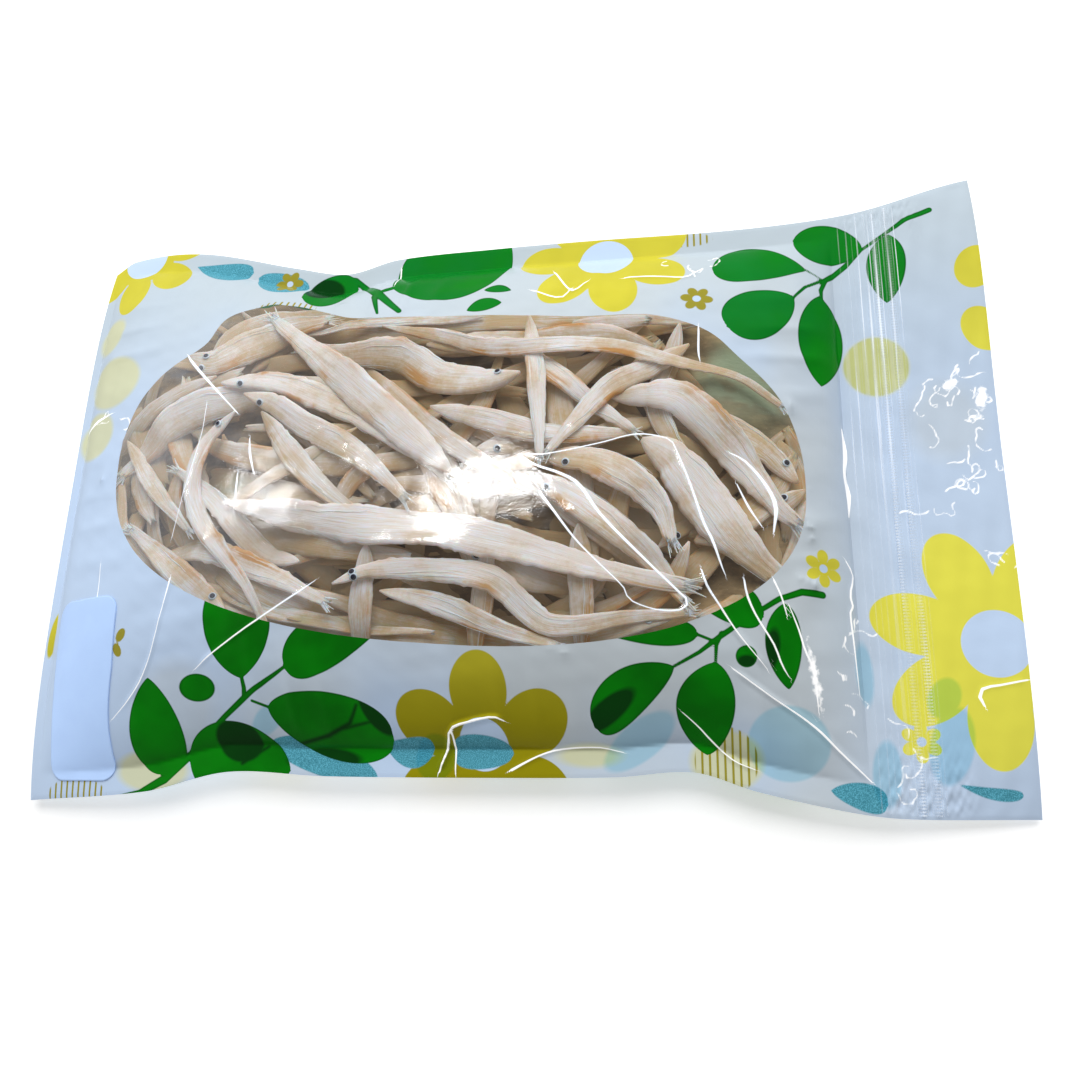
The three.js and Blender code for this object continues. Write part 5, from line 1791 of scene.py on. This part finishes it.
def lay_floor(look):
    """A wide white floor that shiny pieces don't mirror."""
    corners = [(x * FLOOR_HALF, y * FLOOR_HALF, 0) for x, y in ((-1, -1), (1, -1), (1, 1), (-1, 1))]
    mesh = bpy.data.meshes.new("floor")
    mesh.from_pydata(corners, [], [(0, 1, 2, 3)])
    mesh.materials.append(plain_material("floor_paper", look.floor, 0.9, mottle=0.98, glow=look.glow))
    floor = new_object("floor", mesh)
    floor.location.z = -FLOOR_DROP
    floor.visible_glossy = False


def area_lamp(name, place, size, aim, power, side, state, pieces):
    """A square lamp whose light passes some pieces, or falls on them alone."""
    lamp = bpy.data.lights.new(name, "AREA")
    lamp.size = size
    lamp.energy = power
    made = new_object(name, lamp)
    made.location = place
    made.rotation_mode = "QUATERNION"
    made.rotation_quaternion = (Vector(place) - Vector(aim)).to_track_quat("Z", "Y")
    group = bpy.data.collections.new(name + "_pieces")
    setattr(made.light_linking, side + "_collection", group)
    for piece in pieces:
        group.objects.link(bpy.context.scene.objects[piece])
    for item in group.collection_objects:
        item.light_linking.link_state = state
    return made


def light_room(look):
    """White surroundings, two large lamps and the small ones that the film mirrors."""
    world = bpy.data.worlds.new("white_room")
    world.use_nodes = True
    world.node_tree.nodes["Background"].inputs["Color"].default_value = WHITE
    world.node_tree.nodes["Background"].inputs["Strength"].default_value = look.sky
    bpy.context.scene.world = world
    past = ("blocker", "EXCLUDE", (*PRINTED_FRONT, "film_window"))
    onto = ("receiver", "INCLUDE", (*PRINTED_FRONT, "sticker"))
    soft = area_lamp("soft_lamp", *SOFT_LAMP, LAMP_AIM, look.soft, *past)
    fill = area_lamp("fill_lamp", *FILL_LAMP, LAMP_AIM, look.fill, *onto)
    soft.visible_glossy = fill.visible_glossy = False
    for count, (mirror, way, size, share) in enumerate(GLINT_LAMPS):
        place = Vector(mirror) + GLINT_LAMP_REACH * Vector(way).normalized()
        power = look.glint * share
        area_lamp(f"glint_lamp_{count}", place, size, mirror, power, "receiver", "INCLUDE", ("film_window",))


def set_camera(look):
    """The camera in the photo's place."""
    camera = bpy.data.cameras.new("camera")
    camera.lens = look.lens
    camera.sensor_width = SENSOR_WIDTH
    camera.clip_start = 0.01
    made = new_object("camera", camera)
    back = Vector(CAMERA_BACK).normalized()
    right = Vector(CAMERA_RIGHT)
    right = (right - right.dot(back) * back).normalized()
    turn = Matrix((right, back.cross(right), back)).transposed()
    made.matrix_world = Matrix.Translation(Vector(CAMERA_PLACE) * MM) @ turn.to_4x4()
    bpy.context.scene.camera = made


class WHITEBAIT_OT_stage(bpy.types.Operator):
    """Set up the floor, the lamps and the camera"""

    bl_idname = "whitebait.stage"
    bl_label = "Set stage"

    def execute(self, context):
        look = context.scene.whitebait_stage
        lay_floor(look)
        light_room(look)
        set_camera(look)
        context.scene.view_settings.view_transform = "Standard"
        return {"FINISHED"}


STEPS = ("fish", "core", "eyes", "film", "zip", "sticker", "stage")
LOOKS = {
    "whitebait_film": FilmLook, "whitebait_fish": FishLook, "whitebait_zip": ZipLook,
    "whitebait_sticker": StickerLook, "whitebait_stage": StageLook,
}


class WHITEBAIT_PT_panel(bpy.types.Panel):
    """Sizes, colours and steps of the pouch"""

    bl_idname = "WHITEBAIT_PT_panel"
    bl_label = "Pouch of whitebait"
    bl_space_type = "VIEW_3D"
    bl_region_type = "UI"
    bl_category = "Whitebait"

    def draw(self, context):
        for key, look in LOOKS.items():
            box = self.layout.box()
            box.label(text=look.__doc__)
            for name in look.__annotations__:
                box.prop(getattr(context.scene, key), name)
        for step in STEPS:
            self.layout.operator("whitebait." + step)


OPERATORS = (
    WHITEBAIT_OT_fish, WHITEBAIT_OT_core, WHITEBAIT_OT_eyes, WHITEBAIT_OT_film, WHITEBAIT_OT_zip,
    WHITEBAIT_OT_sticker, WHITEBAIT_OT_stage,
)
CLASSES = (*LOOKS.values(), *OPERATORS, WHITEBAIT_PT_panel)


def register():
    for one in CLASSES:
        bpy.utils.register_class(one)
    for key, look in LOOKS.items():
        setattr(bpy.types.Scene, key, bpy.props.PointerProperty(type=look))


def unregister():
    for key in LOOKS:
        delattr(bpy.types.Scene, key)
    for one in reversed(CLASSES):
        bpy.utils.unregister_class(one)


def main():
    register()
    for step in STEPS:
        getattr(bpy.ops.whitebait, step)()


if __name__ == "__main__":
    main()
